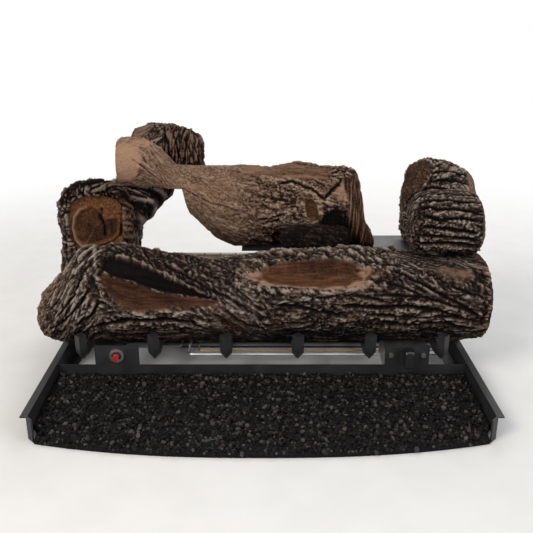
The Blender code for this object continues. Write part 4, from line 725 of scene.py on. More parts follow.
leftLog = {
    "left": -0.291,
    "width": 0.106,
    "height": 0.208,
    "length": 0.146,
    "steps": 262,
    "around": 320,
    "radius": 0.07,
    "faceDepth": 0.0048,
    "plateDepth": 0.0026,
    "beadHeight": 0.0034,
    "rimHeight": 0.0034,
    "seat": (0.2435, -0.010),
    "bark": {
        **barkLook, "lumpSize": 0.022, "lump": 0.0034, "strandSize": 0.0135, "stretch": 2.0, "strand": 0.0046,
        "sharp": 2.4, "knobSize": 0.0056, "knob": 0.0018, "grit": 0.0006, "slant": 48,
    },
    "face": [
        (-263, 229), (-245, 237), (-224, 237), (-204, 233), (-198, 225), (-200, 183), (-209, 161),
        (-220, 155), (-238, 152), (-248, 159), (-260, 165), (-266, 176), (-269, 198), (-267, 216),
    ],
    "plate": [
        (-254, 220), (-239, 226), (-231, 222), (-226, 216), (-220, 207), (-199, 209), (-202, 183),
        (-212, 174), (-226, 168), (-242, 165), (-257, 166), (-264, 176), (-267, 194), (-263, 209),
    ],
    "faceCracks": [
        ([(-224, 220), (-227, 207), (-223, 194), (-223, 181)], 1.9, 3.2),
        ([(-229, 216), (-230, 204)], 1.2, 1.4),
        ([(-233, 198), (-241, 183), (-249, 170)], 1.4, -1.6),
        ([(-212, 202), (-213, 186)], 1.3, 1.0),
        ([(-195, 222), (-196, 203), (-200, 183)], 1.9, 3.4),
        ([(-189, 218), (-191, 202), (-195, 187)], 1.5, 2.4),
        ([(-241, 166), (-225, 167), (-212, 172), (-202, 181)], 1.2, 1.7),
        ([(-239, 161), (-221, 163), (-208, 170)], 1.2, 1.5),
    ],
    # Outlines of the front and the back, as shares of the width and the height
    "frontOutline": (
        (0.12, 0.00), (0.04, 0.20), (0.00, 0.36), (0.05, 0.54), (0.08, 0.68), (0.04, 0.80), (0.08, 0.89),
        (0.20, 0.96), (0.40, 1.00), (0.66, 1.00), (0.88, 0.94), (1.00, 0.82), (0.99, 0.66), (0.95, 0.52),
        (0.90, 0.38), (0.87, 0.20), (0.85, 0.00),
    ),
    "backOutline": (
        (0.12, 0.00), (0.04, 0.20), (0.01, 0.42), (0.03, 0.60), (0.12, 0.72), (0.32, 0.80), (0.60, 0.86),
        (0.76, 0.95), (1.5755, 0.94), (1.5755, 0.86), (0.98, 0.62), (0.90, 0.42), (0.88, 0.20),
        (0.84, 0.00),
    ),
}


# How far an outline of (width, height) shares lies from its middle at each angle, eased over a
# few degrees so that its corners are round
def outlineReach(corners, angles):
    across, up = (0.5 - np.array(corners).T[0]) / 0.5, (np.array(corners).T[1] - 0.5) / 0.5
    turn, reach = np.arctan2(up, across) % turnFull, np.hypot(across, up)
    order = np.argsort(turn)
    shifts = np.radians(np.linspace(-7, 7, 9))
    weights = np.exp(-0.5 * (shifts / math.radians(3.5)) ** 2)
    total = sum(
        weight * np.interp((angles + shift) % turnFull, turn[order], reach[order], period=turnFull)
        for shift, weight in zip(shifts, weights)
    )
    return total / weights.sum()


def makeLeftLog(look):
    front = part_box("left_log")[0].y
    sizes = np.array([(0, 0.90), (0.03, 0.98), (0.10, 1), (0.30, 1), (0.60, 0.99), (0.93, 0.97), (1, 0.92)])
    share, wide = sizes.T
    rows = np.stack(
        [
            front + look["length"] * share,
            np.full(len(sizes), look["left"] + look["width"] / 2),
            np.full(len(sizes), logFloor + look["height"] / 2),
            look["width"] / 2 * wide,
            look["height"] / 2 * (0.6 + 0.4 * wide),
        ],
        1,
    )

    def outline(place, angles):
        share = np.clip((place - 0.14) / 0.34, 0, 1)
        near, far = [outlineReach(look[key], angles) for key in ("frontOutline", "backOutline")]
        return near * (1 - share) + far * share

    form = logForm(rows, look["steps"], look["around"], look["radius"], (60, 1.0), outline, even=0.003)
    height = barkRelief(form, look["bark"], 61)
    across, up = form["grid"][..., 1] / mm, form["grid"][..., 2] / mm
    wobble = grain(form, 0.014, 1.2, 0, 63, 2) * 2.2
    # The sawn face: an inner shape on the front end, in mm across and mm up
    facing = ease(0.024, 0.012, form["along"] - front)
    cutIn = shapeDepth(across, up, look["face"]) + 3.0 + 0.7 * wobble
    face = ease(-1.5, 2.5, cutIn) * facing
    plate = shapeDepth(across, up, look["plate"]) + 0.5 * wobble
    rings = np.sin(plate / 1.25 + 0.9 * grain(form, 0.012, 1, 0, 66)) * ease(16, 1, np.abs(plate + 4))
    detail = grain(form, 0.006, 1.0, 0, 65, 2) * 0.0009 + 0.00045 * rings
    detail += 0.0016 * grain(form, 0.020, 1.0, 0, 70, 2)
    # A beaded rim round the plate's left and top, lower to the right
    beads = 0.75 + 0.25 * np.sin(1.9 * (across + 1.3 * up) + 2.0 * grain(form, 0.01, 1, 0, 68))
    edge = bell(plate, 1.7) * beads
    leftward = ease(-226, -250, across + 0.2 * (up - 150))
    detail += (look["beadHeight"] * leftward + 0.0010) * edge - look["plateDepth"] * ease(1, 6, plate)
    for corners, width, depth in look["faceCracks"]:
        detail -= depth * mm * bell(lineDistance(across, up, corners)[0], width)
    # The side below the cap is smoother, with strands that run down it
    side = ease(170, 140, up) * ease(-255, -268, across)
    height = height * (1 - 0.35 * side) * (1 + 0.4 * ease(200, 230, up))
    height = height * (1 - face) + (detail - look["faceDepth"]) * face
    # The thick bark rim stands out over the top of the face
    rim = bell(cutIn + 7, 6) * facing * ease(120, 190, up)
    height += look["rimHeight"] * rim
    tone = ridgeTone(form, height - look["rimHeight"] * rim)
    flank = ease(-205, -199, across) * facing * ease(150, 170, up)
    faceTone = np.clip(0.70 + 130 * detail + 0.14 * grain(form, 0.012, 1, 0, 69, 2), 0.02, 1.0)
    tone = tone * (1 - face) + face * faceTone
    # Painted shadow of the middle log's slim end: darker on the top near the front, where the slim end lies
    slimEndShadow = ease(212, 236, up) * (1 - face) * ease(0.035, 0.020, form["along"] - front)
    tone = tone + 0.10 * side - 0.30 * slimEndShadow
    wood = np.maximum(face, 0.6 * flank)
    rust = 0.35 * ease(0.0, 0.6, grain(form, 0.05, 1, 0, 67)) * (1 - face)
    rust += 0.25 * face * ease(0, 8, plate)
    # Darker through the soot share, low on the left of the front end
    charAndShade = 0.75 * ease(112, 92, up) * facing * ease(-282, -270, across)
    pale = 0.95 * leftward * np.clip(1.3 * edge, 0, 1) * ease(0.1, 0.5, face)
    values = {"tone": tone, "wood": wood, "charAndShade": charAndShade, "rust": rust, "pale": pale}
    cuts = [(0, -1, -logFloor, *endless), (0, 1, *look["seat"], endless[1])]
    logPiece(
        "leftLogSkin", form, height, values, cuts, "Y", barkCeramicDeep,
        "left_log_body", "bark_ceramic", "left_log",
    )


makeLeftLog(leftLog)

middleLog = {
    "left": -0.206,
    "length": 0.374,
    "height": 0.118,
    "middle": 0.060,
    "depth": 0.104,
    "slimMiddle": 0.027,
    "slimRadius": 0.034,
    "steps": 400,
    "around": 240,
    "radius": 0.052,
    "upperLeftEnd": -0.079,  # the upper left log stands behind the slim end up to here
    "seatEnd": -0.113,  # the slim end lies on the left log's seat up to here
    "knotDepth": 0.0080,
    "charDepth": 0.0040,
    "knobHeight": 0.0040,
    "splitHeight": 0.0030,
    "shelfOverhang": 0.0156,  # how far past the rear shelf's end the log is flat below
    "bark": {
        **barkLook, "lumpSize": 0.024, "lump": 0.0026, "strandSize": 0.0070, "stretch": 2.2, "strand": 0.0017,
        "sharp": 2.4, "knobSize": 0.0042, "knob": 0.0013, "gritSize": 0.0024, "grit": 0.0005, "slant": -12,
    },
    "marks": {  # (mm along, degrees round), as for the front log
        "knot": [(62, 20), (73, 21), (79, 15), (81, 3), (81, -7), (72, -11), (65, -3), (62, 9)],
        "band": [
            (-30, 66), (-17, 64), (4, 61), (23, 53), (42, 49), (64, 50), (84, 52), (99, 52), (101, 84),
            (-30, 96),
        ],
        "charAndShade": [
            (84, -7), (95, 4), (109, 10), (120, 1), (128, -14), (128, -33), (113, -54), (96, -74),
            (86, -39),
        ],
        "strands": [
            (116, 51), (130, 62), (150, 114), (180, 114), (180, -60), (136, -60), (125, -6), (125, 14),
            (121, 32),
        ],
        "knob": [(96, 77), (112, 91), (128, 101), (136, 79), (132, 63), (117, 54), (108, 55), (99, 66)],
        "pink": [(107, 42), (118, 43), (125, 28), (127, 17), (112, 17), (105, 25)],
        "sawn": [
            (-220, -50), (-220, 60), (-203, 62), (-188, 65), (-173, 47), (-167, 28), (-171, 13),
            (-177, -21), (-187, -39), (-203, -50),
        ],
        "wedge": [(-190, 60), (-186, 100), (-162, 96), (-150, 66), (-166, 55)],
        "grooves": [
            ([(19, 46), (30, 44), (42, 45), (58, 39), (73, 35), (85, 26), (91, 24), (98, 33), (107, 42),
              (117, 54)], 2.0, 4.4),
            ([(-2, -5), (12, -5), (26, -1), (37, 1)], 1.4, 2.2),
            ([(-2, -13), (12, -10), (26, -8)], 1.4, 2.0),
            ([(-183, 21), (-167, 5), (-151, -13), (-136, -27)], 1.4, 2.4),
            ([(-172, 40), (-166, 26), (-160, 14)], 1.2, 1.6),
            ([(-158, 64), (-152, 44), (-140, 34)], 1.5, 2.0),
            ([(-184, 72), (-170, 66), (-156, 70)], 1.3, 1.8),
            ([(-182, 86), (-168, 80), (-154, 82)], 1.3, 1.8),
            ([(-120, 10), (-90, 6), (-60, 10), (-30, 6)], 1.2, 1.4),
            ([(101, 64), (112, 72), (124, 70)], 1.8, 2.6),
            ([(112, 92), (120, 80), (130, 84)], 1.6, 2.2),
        ],
        "ridges": [
            ([(-166, 55), (-160, 76), (-164, 98)], 2.2, 1.6),
            ([(-174, 47), (-167, 28), (-171, 10), (-178, -24)], 2.4, 1.4),
            ([(60, 28), (72, 30), (84, 20), (87, 2), (86, -12)], 2.6, 1.2),
            ([(20, 57), (42, 53), (64, 54), (99, 56)], 2.4, 1.6),
        ],
    },
}
branchStub = {
    "left": 0.028,
    "length": 0.098,
    "height": 0.041,
    "middle": 0.0075,
    "depth": 0.028,
    "radius": 0.018,
    "cutOfLog": 0.0143,  # metres from the stub's middle towards the log's
    "cutOfStub": 0.0134,
    "cutSpan": (0.017, 0.137),
    "bark": {"lump": 0.0020, "strand": 0.0022, "knob": 0.0014},
    "shares": (
        (0.00, 0.72, 0.28, 0, 0.26), (0.06, 0.90, 0.10, 0, 0.42), (0.20, 1.00, 0.00, 0, 0.50),
        (0.75, 1.00, 0.00, 0, 0.50), (0.94, 0.92, 0.08, 0, 0.44), (1.00, 0.76, 0.24, 0, 0.30),
    ),
}


def makeMiddleLog(look, stub):
    floor, seat = shelfTop + clear, leftLog["seat"][0] + clear
    drop = (seat + look["slimRadius"] - floor) / look["height"]
    slim, slimDepth = look["slimRadius"] / look["height"], look["slimRadius"] / look["depth"]
    forward = (look["slimMiddle"] - look["middle"]) / look["depth"]
    shares = (
        (0.000, drop + slim * 0.86, drop - slim * 0.86, forward, slimDepth * 0.86),
        (0.020, drop + slim, drop - slim, forward, slimDepth),
        (0.100, drop + slim * 0.94, drop - slim, forward, slimDepth * 0.96),
        (0.155, drop + slim * 0.56, drop - slim * 1.02, forward, slimDepth * 0.92),
        (0.220, 1.06, 0.66, forward * 0.95, slimDepth * 0.92),
        (0.310, 1.04, 0.36, forward * 0.85, slimDepth * 0.95),
        (0.370, 1.02, 0.14, forward * 0.58, 0.42),
        (0.450, 1.01, 0.00, forward * 0.26, 0.47),
        (0.570, 0.98, 0.00, 0.00, 0.49),
        (0.680, 1.03, 0.00, 0.00, 0.50),
        (0.790, 0.98, 0.00, 0.00, 0.50),
        (0.880, 0.97, 0.00, 0.00, 0.50),
        (0.920, 0.95, 0.00, 0.00, 0.48),
        (0.936, 0.86, 0.00, 0.00, 0.46),
        (0.946, 0.62, 0.00, 0.00, 0.45),
        (0.956, 0.34, 0.00, 0.00, 0.43),
        (0.980, 0.20, 0.00, 0.00, 0.38),
        (1.000, 0.12, 0.02, 0.00, 0.28),
    )
    rows = lyingRows(look, floor, shares)
    form = logForm(rows, look["steps"], look["around"], look["radius"], dense=(30, 1.4))
    x, turn = form["along"] / mm, np.degrees(form["angles"])
    wobble = grain(form, 0.012, 1.4, 0, 103, 2) * 0.0018
    edges = {"knot": 0.0010, "band": 0.003, "charAndShade": 0.009, "strands": 0.004,
             "knob": 0.004, "pink": 0.004, "sawn": 0.0045, "wedge": 0.002}
    knot, band, charIn, strands, knob, pink, sawn, wedge = [
        patchShare(form, look["marks"][key], wobble, edge) for key, edge in edges.items()
    ]
    # The slim end is a smoother weathered branch; the stout part is rougher
    stout = ease(-60, 30, x)
    plain = np.maximum.reduce([knot, 0.75 * band, 0.8 * sawn, 0.8 * wedge, 0.15 * (1 - stout)])
    height = barkRelief(form, look["bark"], 101) * (1 - plain) * (1 + 0.6 * stout)
    height += grain(form, 0.0032, 5.0, -6, 111, 2) * 0.0008 * np.maximum(band, wedge)
    around = roundStrands(form, 0.0042, 0.060, 7)
    split = np.maximum(strands, 0.6 * charIn)
    height = height * (1 - 0.8 * split) + split * look["splitHeight"] * (around - 0.5)
    height = marked(form, look["marks"], height, wobble * 0.5)
    hollow = ease(-0.001, 0.005, patchDepth(form, look["marks"]["knot"]))
    height -= look["knotDepth"] * knot * hollow + look["charDepth"] * charIn
    height += look["knobHeight"] * knob * (grain(form, 0.009, 1, 0, 121, 2) + 0.4)
    height += 0.0016 * pink - 0.0022 * wedge
    tone = ridgeTone(form, height) + 0.22 * (1 - stout) + 0.03
    tone = tone * (1 - knot) + 0.36 * knot
    tone = tone * (1 - 0.7 * sawn) + 0.7 * sawn * (0.74 + 0.30 * grain(form, 0.007, 1.2, 0, 125, 3))
    tone += 0.12 * band * (1 - knob) + 0.10 * wedge - 0.42 * charIn - 0.18 * knob
    wood = np.maximum.reduce([knot, 0.75 * band, 0.75 * split, 0.35 * (1 - stout), 0.5 * wedge])
    stain = ease(0, 0.5, grain(form, 0.04, 1.4, 0, 123)) * stout
    rust = np.maximum(0.55 * split * (1 - charIn), 0.30 * stain)
    # Painted highlight: the raised tops of the split strands are painted pale
    lit = 0.75 * strands * ease(0.25, 0.8, around)
    pale = np.maximum.reduce([0.72 * sawn, 0.7 * wedge, 0.65 * pink, lit])
    # Soot on the charred patch, and painted shade under the stout part
    charAndShade = np.maximum(0.75 * charIn, 0.4 * (1 - ease(-60, -20, turn)) * stout)
    values = {"tone": tone, "wood": wood, "charAndShade": charAndShade, "rust": rust, "pale": pale}
    # The cut between the log and its stub is square to the line that joins their middles
    stubMiddle = np.array((stub["middle"], floor + stub["height"] / 2))
    toward = np.array((look["middle"], floor + look["height"] / 2)) - stubMiddle
    toward = toward / np.linalg.norm(toward)
    meet = float(toward @ stubMiddle)
    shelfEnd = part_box("rear_shelf")[0].x - look["shelfOverhang"]
    cuts = [
        (0, -1, -seat, endless[0], look["seatEnd"]),
        (0, -1, -floor, shelfEnd, endless[1]),
        (1, 0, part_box("upper_left_log")[0].y - clear, endless[0], look["upperLeftEnd"]),
        (-toward[0], -toward[1], -meet - stub["cutOfLog"], *stub["cutSpan"]),
    ]
    logPiece(
        "middleLogSkin", form, height, values, cuts, "X", woodCeramic,
        "middle_log_body", "wood_ceramic", "middle_log",
    )
    rows = lyingRows(stub, floor, stub["shares"])
    form = logForm(rows, steps=150, around=120, radius=stub["radius"], dense=(30, 1.0), even=0.003)
    height = barkRelief(form, {**look["bark"], **stub["bark"]}, 141)
    tone = ridgeTone(form, height, 0.0014, 0.0040)
    none = np.zeros(tone.shape)
    burnt = 0.45 + 0.45 * ease(-0.4, 0.5, grain(form, 0.02, 1.3, 0, 143))
    values = {"tone": 0.75 * tone, "wood": none, "charAndShade": burnt, "rust": none + 0.55, "pale": none}
    cuts = [(toward[0], toward[1], meet + stub["cutOfStub"], *endless)]
    logPiece(
        "branchStubSkin", form, height, values, cuts, "X", barkCeramic,
        "middle_log_body", "bark_ceramic", "branch_stub",
    )


makeMiddleLog(middleLog, branchStub)

# The three small logs: left, length, floor, height, middle and depth in metres, the sections'
# shares, the cut between the log and its neighbour, and the marks. pale is where the cut ends
# begin, in mm along, to the left and to the right.
smallLogs = {
    "upperLeft": {
        "node": "upper_left_log", "body": "upper_left_body",
        "left": -0.200, "length": 0.110, "floor": 0.2438, "height": 0.0795, "middle": 0.0955, "depth": 0.072,
        "shares": (
            (0.00, 0.66, 0.10, 0, 0.34), (0.07, 0.84, 0.00, 0, 0.46), (0.30, 1.00, 0.00, 0, 0.50),
            (0.60, 0.96, 0.00, 0, 0.50), (0.84, 0.86, 0.00, 0, 0.47), (0.96, 0.72, 0.02, 0, 0.42),
            (1.00, 0.58, 0.08, 0, 0.34),
        ),
        "cuts": [(-1, 0, -0.0595, *endless)],
        "slant": 20, "stretch": 1.6, "strand": 0.0034, "seed": 171,
        "pale": (-198, -90), "rust": 0.25, "tone": 0.06,
        "grooves": [
            ([(-139, 60), (-143, 44), (-141, 19), (-134, -7)], 1.6, 3.0),
            ([(-128, 70), (-131, 48), (-126, 23), (-122, -8)], 2.0, 3.4),
            ([(-110, 66), (-113, 40), (-109, 18)], 1.5, 2.6),
            ([(-99, 90), (-94, 57), (-97, 27)], 1.6, 2.8),
            ([(-186, 88), (-166, 80), (-146, 92), (-130, 88)], 2.2, 4.4),
            ([(-188, 60), (-172, 58), (-158, 70)], 1.3, 2.2),
            ([(-190, 72), (-176, 69), (-164, 78)], 1.2, 2.0),
        ],
        "strands": 0.0050,
        "wood": [(-146, 60), (-138, 82), (-96, 100), (-84, 60), (-88, -20), (-134, -20), (-148, 20)],
        "light": [(-199, 46), (-192, 84), (-174, 90), (-161, 74), (-166, 52), (-180, 42)],
    },
    "right": {
        "node": "right_log", "body": "right_log_body",
        "left": 0.208, "length": 0.098, "floor": 0.1583, "height": 0.088, "middle": -0.0255, "depth": 0.098,
        "shares": (
            (0.00, 0.74, 0.20, -0.02, 0.28), (0.05, 0.88, 0.06, -0.01, 0.40), (0.18, 0.98, 0.00, 0, 0.48),
            (0.45, 1.00, 0.00, 0, 0.50), (0.80, 0.97, 0.00, 0, 0.48), (0.93, 0.92, 0.01, 0.02, 0.44),
            (1.00, 0.80, 0.08, 0.06, 0.36),
        ),
        "cuts": [(1, 0, 0.0241, *endless)],
        "slant": -6, "stretch": 3.2, "strand": 0.0034, "seed": 201,
        "pale": (204, 298), "rust": 0.0, "tone": -0.11,
        "grooves": [
            ([(212, 66), (236, 62), (270, 57), (292, 57)], 2.0, 4.4),
            ([(212, 57), (236, 43), (263, 41), (292, 38)], 2.2, 5.0),
            ([(215, 36), (238, 23), (268, 26), (292, 22)], 2.4, 5.6),
            ([(214, 15), (233, 9), (262, 6), (292, 1)], 2.2, 5.0),
            ([(216, -4), (244, -6), (270, -9), (292, -14)], 1.8, 3.6),
            ([(213, -23), (231, -19), (254, -19), (291, -26)], 2.4, 5.4),
            ([(214, 88), (240, 80), (270, 76), (290, 78)], 2.0, 4.0),
        ],
        "ridges": [([(210, -50), (207, -10), (208, 30), (212, 78)], 2.4, 2.2)],
    },
    "upperRight": {
        "node": "upper_right_log", "body": "upper_right_body",
        "left": 0.213, "length": 0.104, "floor": 0.1463, "height": 0.126, "middle": 0.0647, "depth": 0.080,
        "shares": (
            (0.00, 0.70, 0.14, 0, 0.32), (0.07, 0.90, 0.02, 0, 0.44), (0.30, 1.00, 0.00, 0, 0.50),
            (0.65, 0.97, 0.00, 0, 0.50), (0.92, 0.86, 0.00, 0, 0.46), (1.00, 0.76, 0.05, 0, 0.40),
        ),
        "cuts": [(-1, 0, -0.0244, *endless)],
        "slant": 4, "stretch": 2.8, "strand": 0.0034, "seed": 231,
        "pale": (205, 301), "rust": 0.0, "tone": 0.05,
        "grooves": [
            ([(245, 49), (264, 57), (285, 57), (304, 64)], 1.9, 3.8),
            ([(242, 37), (263, 41), (287, 42), (305, 45)], 1.9, 3.8),
            ([(234, 28), (257, 29), (280, 25), (302, 29)], 1.9, 3.8),
            ([(252, 64), (268, 74), (290, 74)], 1.8, 3.2),
        ],
        "ridges": [([(224, 98), (242, 87), (256, 61), (244, 44), (234, 29)], 2.2, 1.8)],
        "wood": [(215, 104), (234, 92), (250, 62), (240, 44), (231, 29), (208, 28), (205, 80)],
    },
}


def makeSmallLog(name, look):
    rows = lyingRows(look, look["floor"], look["shares"])
    form = logForm(rows, steps=220, around=220, radius=look["height"] / 2, dense=(35, 1.0), even=0.003)
    bark = {**barkLook, "slant": look["slant"], "stretch": look["stretch"], "strand": look["strand"]}
    seed = look["seed"]
    wobble = grain(form, 0.012, 1.4, 0, seed + 1, 2) * 0.0014
    wood, light = [
        patchShare(form, look[key], wobble, 0.003) if key in look else np.zeros(wobble.shape)
        for key in ("wood", "light")
    ]
    around = roundStrands(form, 0.0060, 0.024, seed)
    height = barkRelief(form, bark, seed) * (1 - 0.5 * wood) * (1 - 0.7 * light)
    x = form["along"] / mm
    left, right = look["pale"]
    endFace = np.maximum(ease(left + 5, left, x), ease(right, right + 4, x))
    height = height * (1 - 0.75 * endFace)
    height = marked(form, look, height + look.get("strands", 0) * wood * (around - 0.5), wobble)
    tone = ridgeTone(form, height) + 0.2 * light
    rust = look["rust"] + 0.25 * ease(0, 0.5, grain(form, 0.035, 1.2, 0, seed + 3))
    tone = tone + 0.08 * endFace + look["tone"]
    values = {
        "tone": tone, "wood": np.maximum(0.65 * wood, 0.7 * endFace), "charAndShade": 0 * tone, "rust": rust,
        "pale": np.maximum(0.55 * endFace, 0.6 * light),
    }
    cuts = [(0, -1, -look["floor"], *endless), *look["cuts"]]
    logPiece(
        name + "LogSkin", form, height, values, cuts, "X", barkCeramic,
        look["body"], "bark_ceramic", look["node"],
    )


for name, look in smallLogs.items():
    makeSmallLog(name, look)
print("logs")


# A material for a carried-over piece: its three colours varied by two noises, one broad and one
# fine, sized in mm, with a range of roughness and a bump in metres
def coatedMaterial(look):
    specular, metal = look.get("specular", 0.5), look.get("metal", 0.0)
    material, tree, shader, place = newMaterial(look["name"], specular, metal)
    broad, fine = [
        addNode(tree, "TexNoise", {
            "Vector": place, "Scale": 1 / (size * mm), "Detail": detail, "Roughness": rough,
        })
        for size, detail, rough in ((look.get("broad", 18), 3, 0.55), (look.get("fine", 0.8), 4, 0.6))
    ]
    share = addNode(tree, "Math", (broad, 0.6), operation="MULTIPLY")
    share = addNode(tree, "Math", (fine, 0.4, share), operation="MULTIPLY_ADD")
    colour = setStops(addNode(tree, "ValToRGB", (share,)), (0.30, 0.55, 0.80), look["colours"])
    low, high = look["roughRange"]
    spread = {"Value": share, "From Min": 0.3, "From Max": 0.7, "To Min": low, "To Max": high}
    dull = addNode(tree, "MapRange", spread)
    finishShader(tree, shader, colour, dull, fine, 0.5, look.get("bump", 0.0001))
    return material


finishes = {
    "painted_steel": {  # matt black heat paint, a little grey where it is dusty
        "name": "Black heat paint", "roughRange": (0.46, 0.66), "bump": 0.00012, "specular": 0.45,
        "colours": ("#141415", "#1d1d1f", "#2b2b2d"),
    },
    "burner_steel": {  # bare steel tube, browned by heat
        "name": "Heat-browned steel", "metal": 1.0, "roughRange": (0.32, 0.52),
        "colours": ("#4c433b", "#665c53", "#81776d"),
    },
    "bare_steel": {  # zinc plate, grey and slightly patchy
        "name": "Zinc plated steel", "metal": 1.0, "roughRange": (0.28, 0.46), "broad": 5,
        "colours": ("#9d9c9a", "#b4b3b1", "#c8c7c4"),
    },
    "brass": {  # turned brass, a little tarnished
        "name": "Turned brass", "metal": 1.0, "roughRange": (0.24, 0.46), "broad": 6,
        "colours": ("#7d6434", "#9c8046", "#b8995c"),
    },
    "aluminium": {  # dull drawn or cast aluminium
        "name": "Dull aluminium", "metal": 1.0, "roughRange": (0.34, 0.54), "broad": 8,
        "colours": ("#a3a4a6", "#b9babc", "#cbccce"),
    },
    "knob_plastic": {  # black moulded plastic with a fine spark texture
        "name": "Black knob plastic", "roughRange": (0.36, 0.50), "fine": 0.5, "bump": 0.00006,
        "colours": ("#131314", "#1a1a1c", "#232325"),
    },
    "button_plastic": {  # red moulded plastic
        "name": "Red button plastic", "roughRange": (0.28, 0.42), "fine": 0.5, "bump": 0.00005,
        "colours": ("#8d1a14", "#a4221a", "#b52c22"),
    },
    "insulator": {  # glazed white porcelain
        "name": "Pilot porcelain", "roughRange": (0.18, 0.36), "broad": 4,
        "colours": ("#cfc9bd", "#dfdacf", "#e9e5dc"),
    },
    "lead_sleeve": {  # glass-fibre sleeve, off-white
        "name": "Glass fibre sleeve", "roughRange": (0.72, 0.9), "fine": 0.6, "bump": 0.0002,
        "colours": ("#8d887c", "#a9a498", "#bdb9ae"),
    },
}
materials = {slot: coatedMaterial(look) for slot, look in finishes.items()}
slotOf = {part["node"]: part["material_slot"] for part in frame["record"]["subparts"]}
for node, piece in frame["nodes"].items():
    if slotOf[node] in materials:
        piece.data.materials.clear()
        piece.data.materials.append(materials[slotOf[node]])
print("carried-over pieces")

lavaRock = {
    "gridSide": 0.275,  # places lie on a grid between the two sides, the front and the back
    "gridFront": -0.294,
    "gridBack": -0.1215,
    "pitch": 0.0048,
    "jitter": 0.35,  # share of the pitch that a stone may stray
    "margin": 0.0008,
    "smallest": 0.0017,
    "largest": 0.0042,
    "layer": 0.0028,  # how much higher the second layer lies
    "second": 0.45,  # share of the stones that have another on top
    "halfWidth": 0.2779,
    "tipHalfWidth": 0.2699,
    "tipStart": -0.2505,
    "back": -0.1193,
    "corner": -0.267,
    "bulge": 0.028,
    "thick": 0.013,
    "edge": 0.004,
}


# The bed's front edge at a share across, -1 to 1: the corner less bulge (1 - |across|^2.4)
def bedFront(look, across):
    return look["corner"] - look["bulge"] * (1 - np.abs(across) ** 2.4)


# Stones: the twelve corners of an icosahedron, each pulled in or out at random, squashed and
# turned at random. They lie on a jittered grid over the bed, whose top falls from thick to
# edge with the cube of the share from back to front.
def makeStones(look):
    source = np.random.default_rng(77)
    pitch, jitter, margin = look["pitch"], look["jitter"], look["margin"]
    side = look["gridSide"]
    x, y = np.meshgrid(np.arange(-side, side, pitch), np.arange(look["gridFront"], look["gridBack"], pitch))
    x, y = x.ravel(), y.ravel()
    x = x + np.where(np.round(y / pitch) % 2, pitch / 2, 0) + source.uniform(-jitter, jitter, len(x)) * pitch
    y = y + source.uniform(-jitter, jitter, len(y)) * pitch
    upper = source.random(len(x)) < look["second"]
    x, y = np.concatenate([x, x[upper] + pitch / 2]), np.concatenate([y, y[upper] + pitch / 2])
    layer = np.concatenate([np.zeros(len(upper)), np.ones(upper.sum())])
    size = look["smallest"] + (look["largest"] - look["smallest"]) * source.random(len(x)) ** 1.6
    half = np.where(y > look["tipStart"], look["halfWidth"], look["tipHalfWidth"]) - size - margin
    front = bedFront(look, x / look["halfWidth"]) - 0.5 * mm
    inside = (np.abs(x) < half) & (y > front + 0.4 * size) & (y < look["back"] - size - 0.75 * margin)
    x, y, layer, size, front = [values[inside] for values in (x, y, layer, size, front)]
    share = np.clip((look["back"] - y) / (look["back"] - front), 0, 1)
    top = look["thick"] + (look["edge"] - look["thick"]) * share**3
    lift = layer * look["layer"] - 0.15 * size + source.uniform(-margin, margin, len(x))
    z = np.maximum(top + lift, size * 0.9)
    ratio = (1 + math.sqrt(5)) / 2
    corners = np.array(
        [(-1, ratio, 0), (1, ratio, 0), (-1, -ratio, 0), (1, -ratio, 0), (0, -1, ratio), (0, 1, ratio),
         (0, -1, -ratio), (0, 1, -ratio), (ratio, 0, -1), (ratio, 0, 1), (-ratio, 0, -1), (-ratio, 0, 1)]
    ) / math.hypot(1, ratio)
    faces = np.array(
        [(0, 11, 5), (0, 5, 1), (0, 1, 7), (0, 7, 10), (0, 10, 11), (1, 5, 9), (5, 11, 4), (11, 10, 2),
         (10, 7, 6), (7, 1, 8), (3, 9, 4), (3, 4, 2), (3, 2, 6), (3, 6, 8), (3, 8, 9), (4, 9, 5),
         (2, 4, 11), (6, 2, 10), (8, 6, 7), (9, 8, 1)]
    )
    count = len(x)
    pull = source.uniform(0.62, 1.18, (count, 12, 1))
    shape = corners[None] * pull * source.uniform(0.7, 1.15, (count, 1, 3))
    turn = source.normal(size=(count, 4))
    w, a, b, c = (turn / np.linalg.norm(turn, axis=1)[:, None]).T
    rotation = np.stack(
        [
            1 - 2 * (b * b + c * c), 2 * (a * b - c * w), 2 * (a * c + b * w),
            2 * (a * b + c * w), 1 - 2 * (a * a + c * c), 2 * (b * c - a * w),
            2 * (a * c - b * w), 2 * (b * c + a * w), 1 - 2 * (a * a + b * b),
        ],
        1,
    ).reshape(count, 3, 3)
    points = np.einsum("nij,nkj->nki", rotation, shape) * size[:, None, None]
    points += np.stack([x, y, z], 1)[:, None]
    points[..., 2] = np.maximum(points[..., 2], 0.0002)
    loops = (faces[None] + 12 * np.arange(count)[:, None, None]).ravel()
    shade = np.repeat(source.random(count), 12)
    piece = arrayPiece(
        "lavaStones", points.reshape(-1, 3), loops, np.full(count * 20, 3), {"shade": shade}, smooth=False
    )
    dress(piece, lavaMaterial, "base", "lava_rock")
    print("lavaStones", count, "stones")


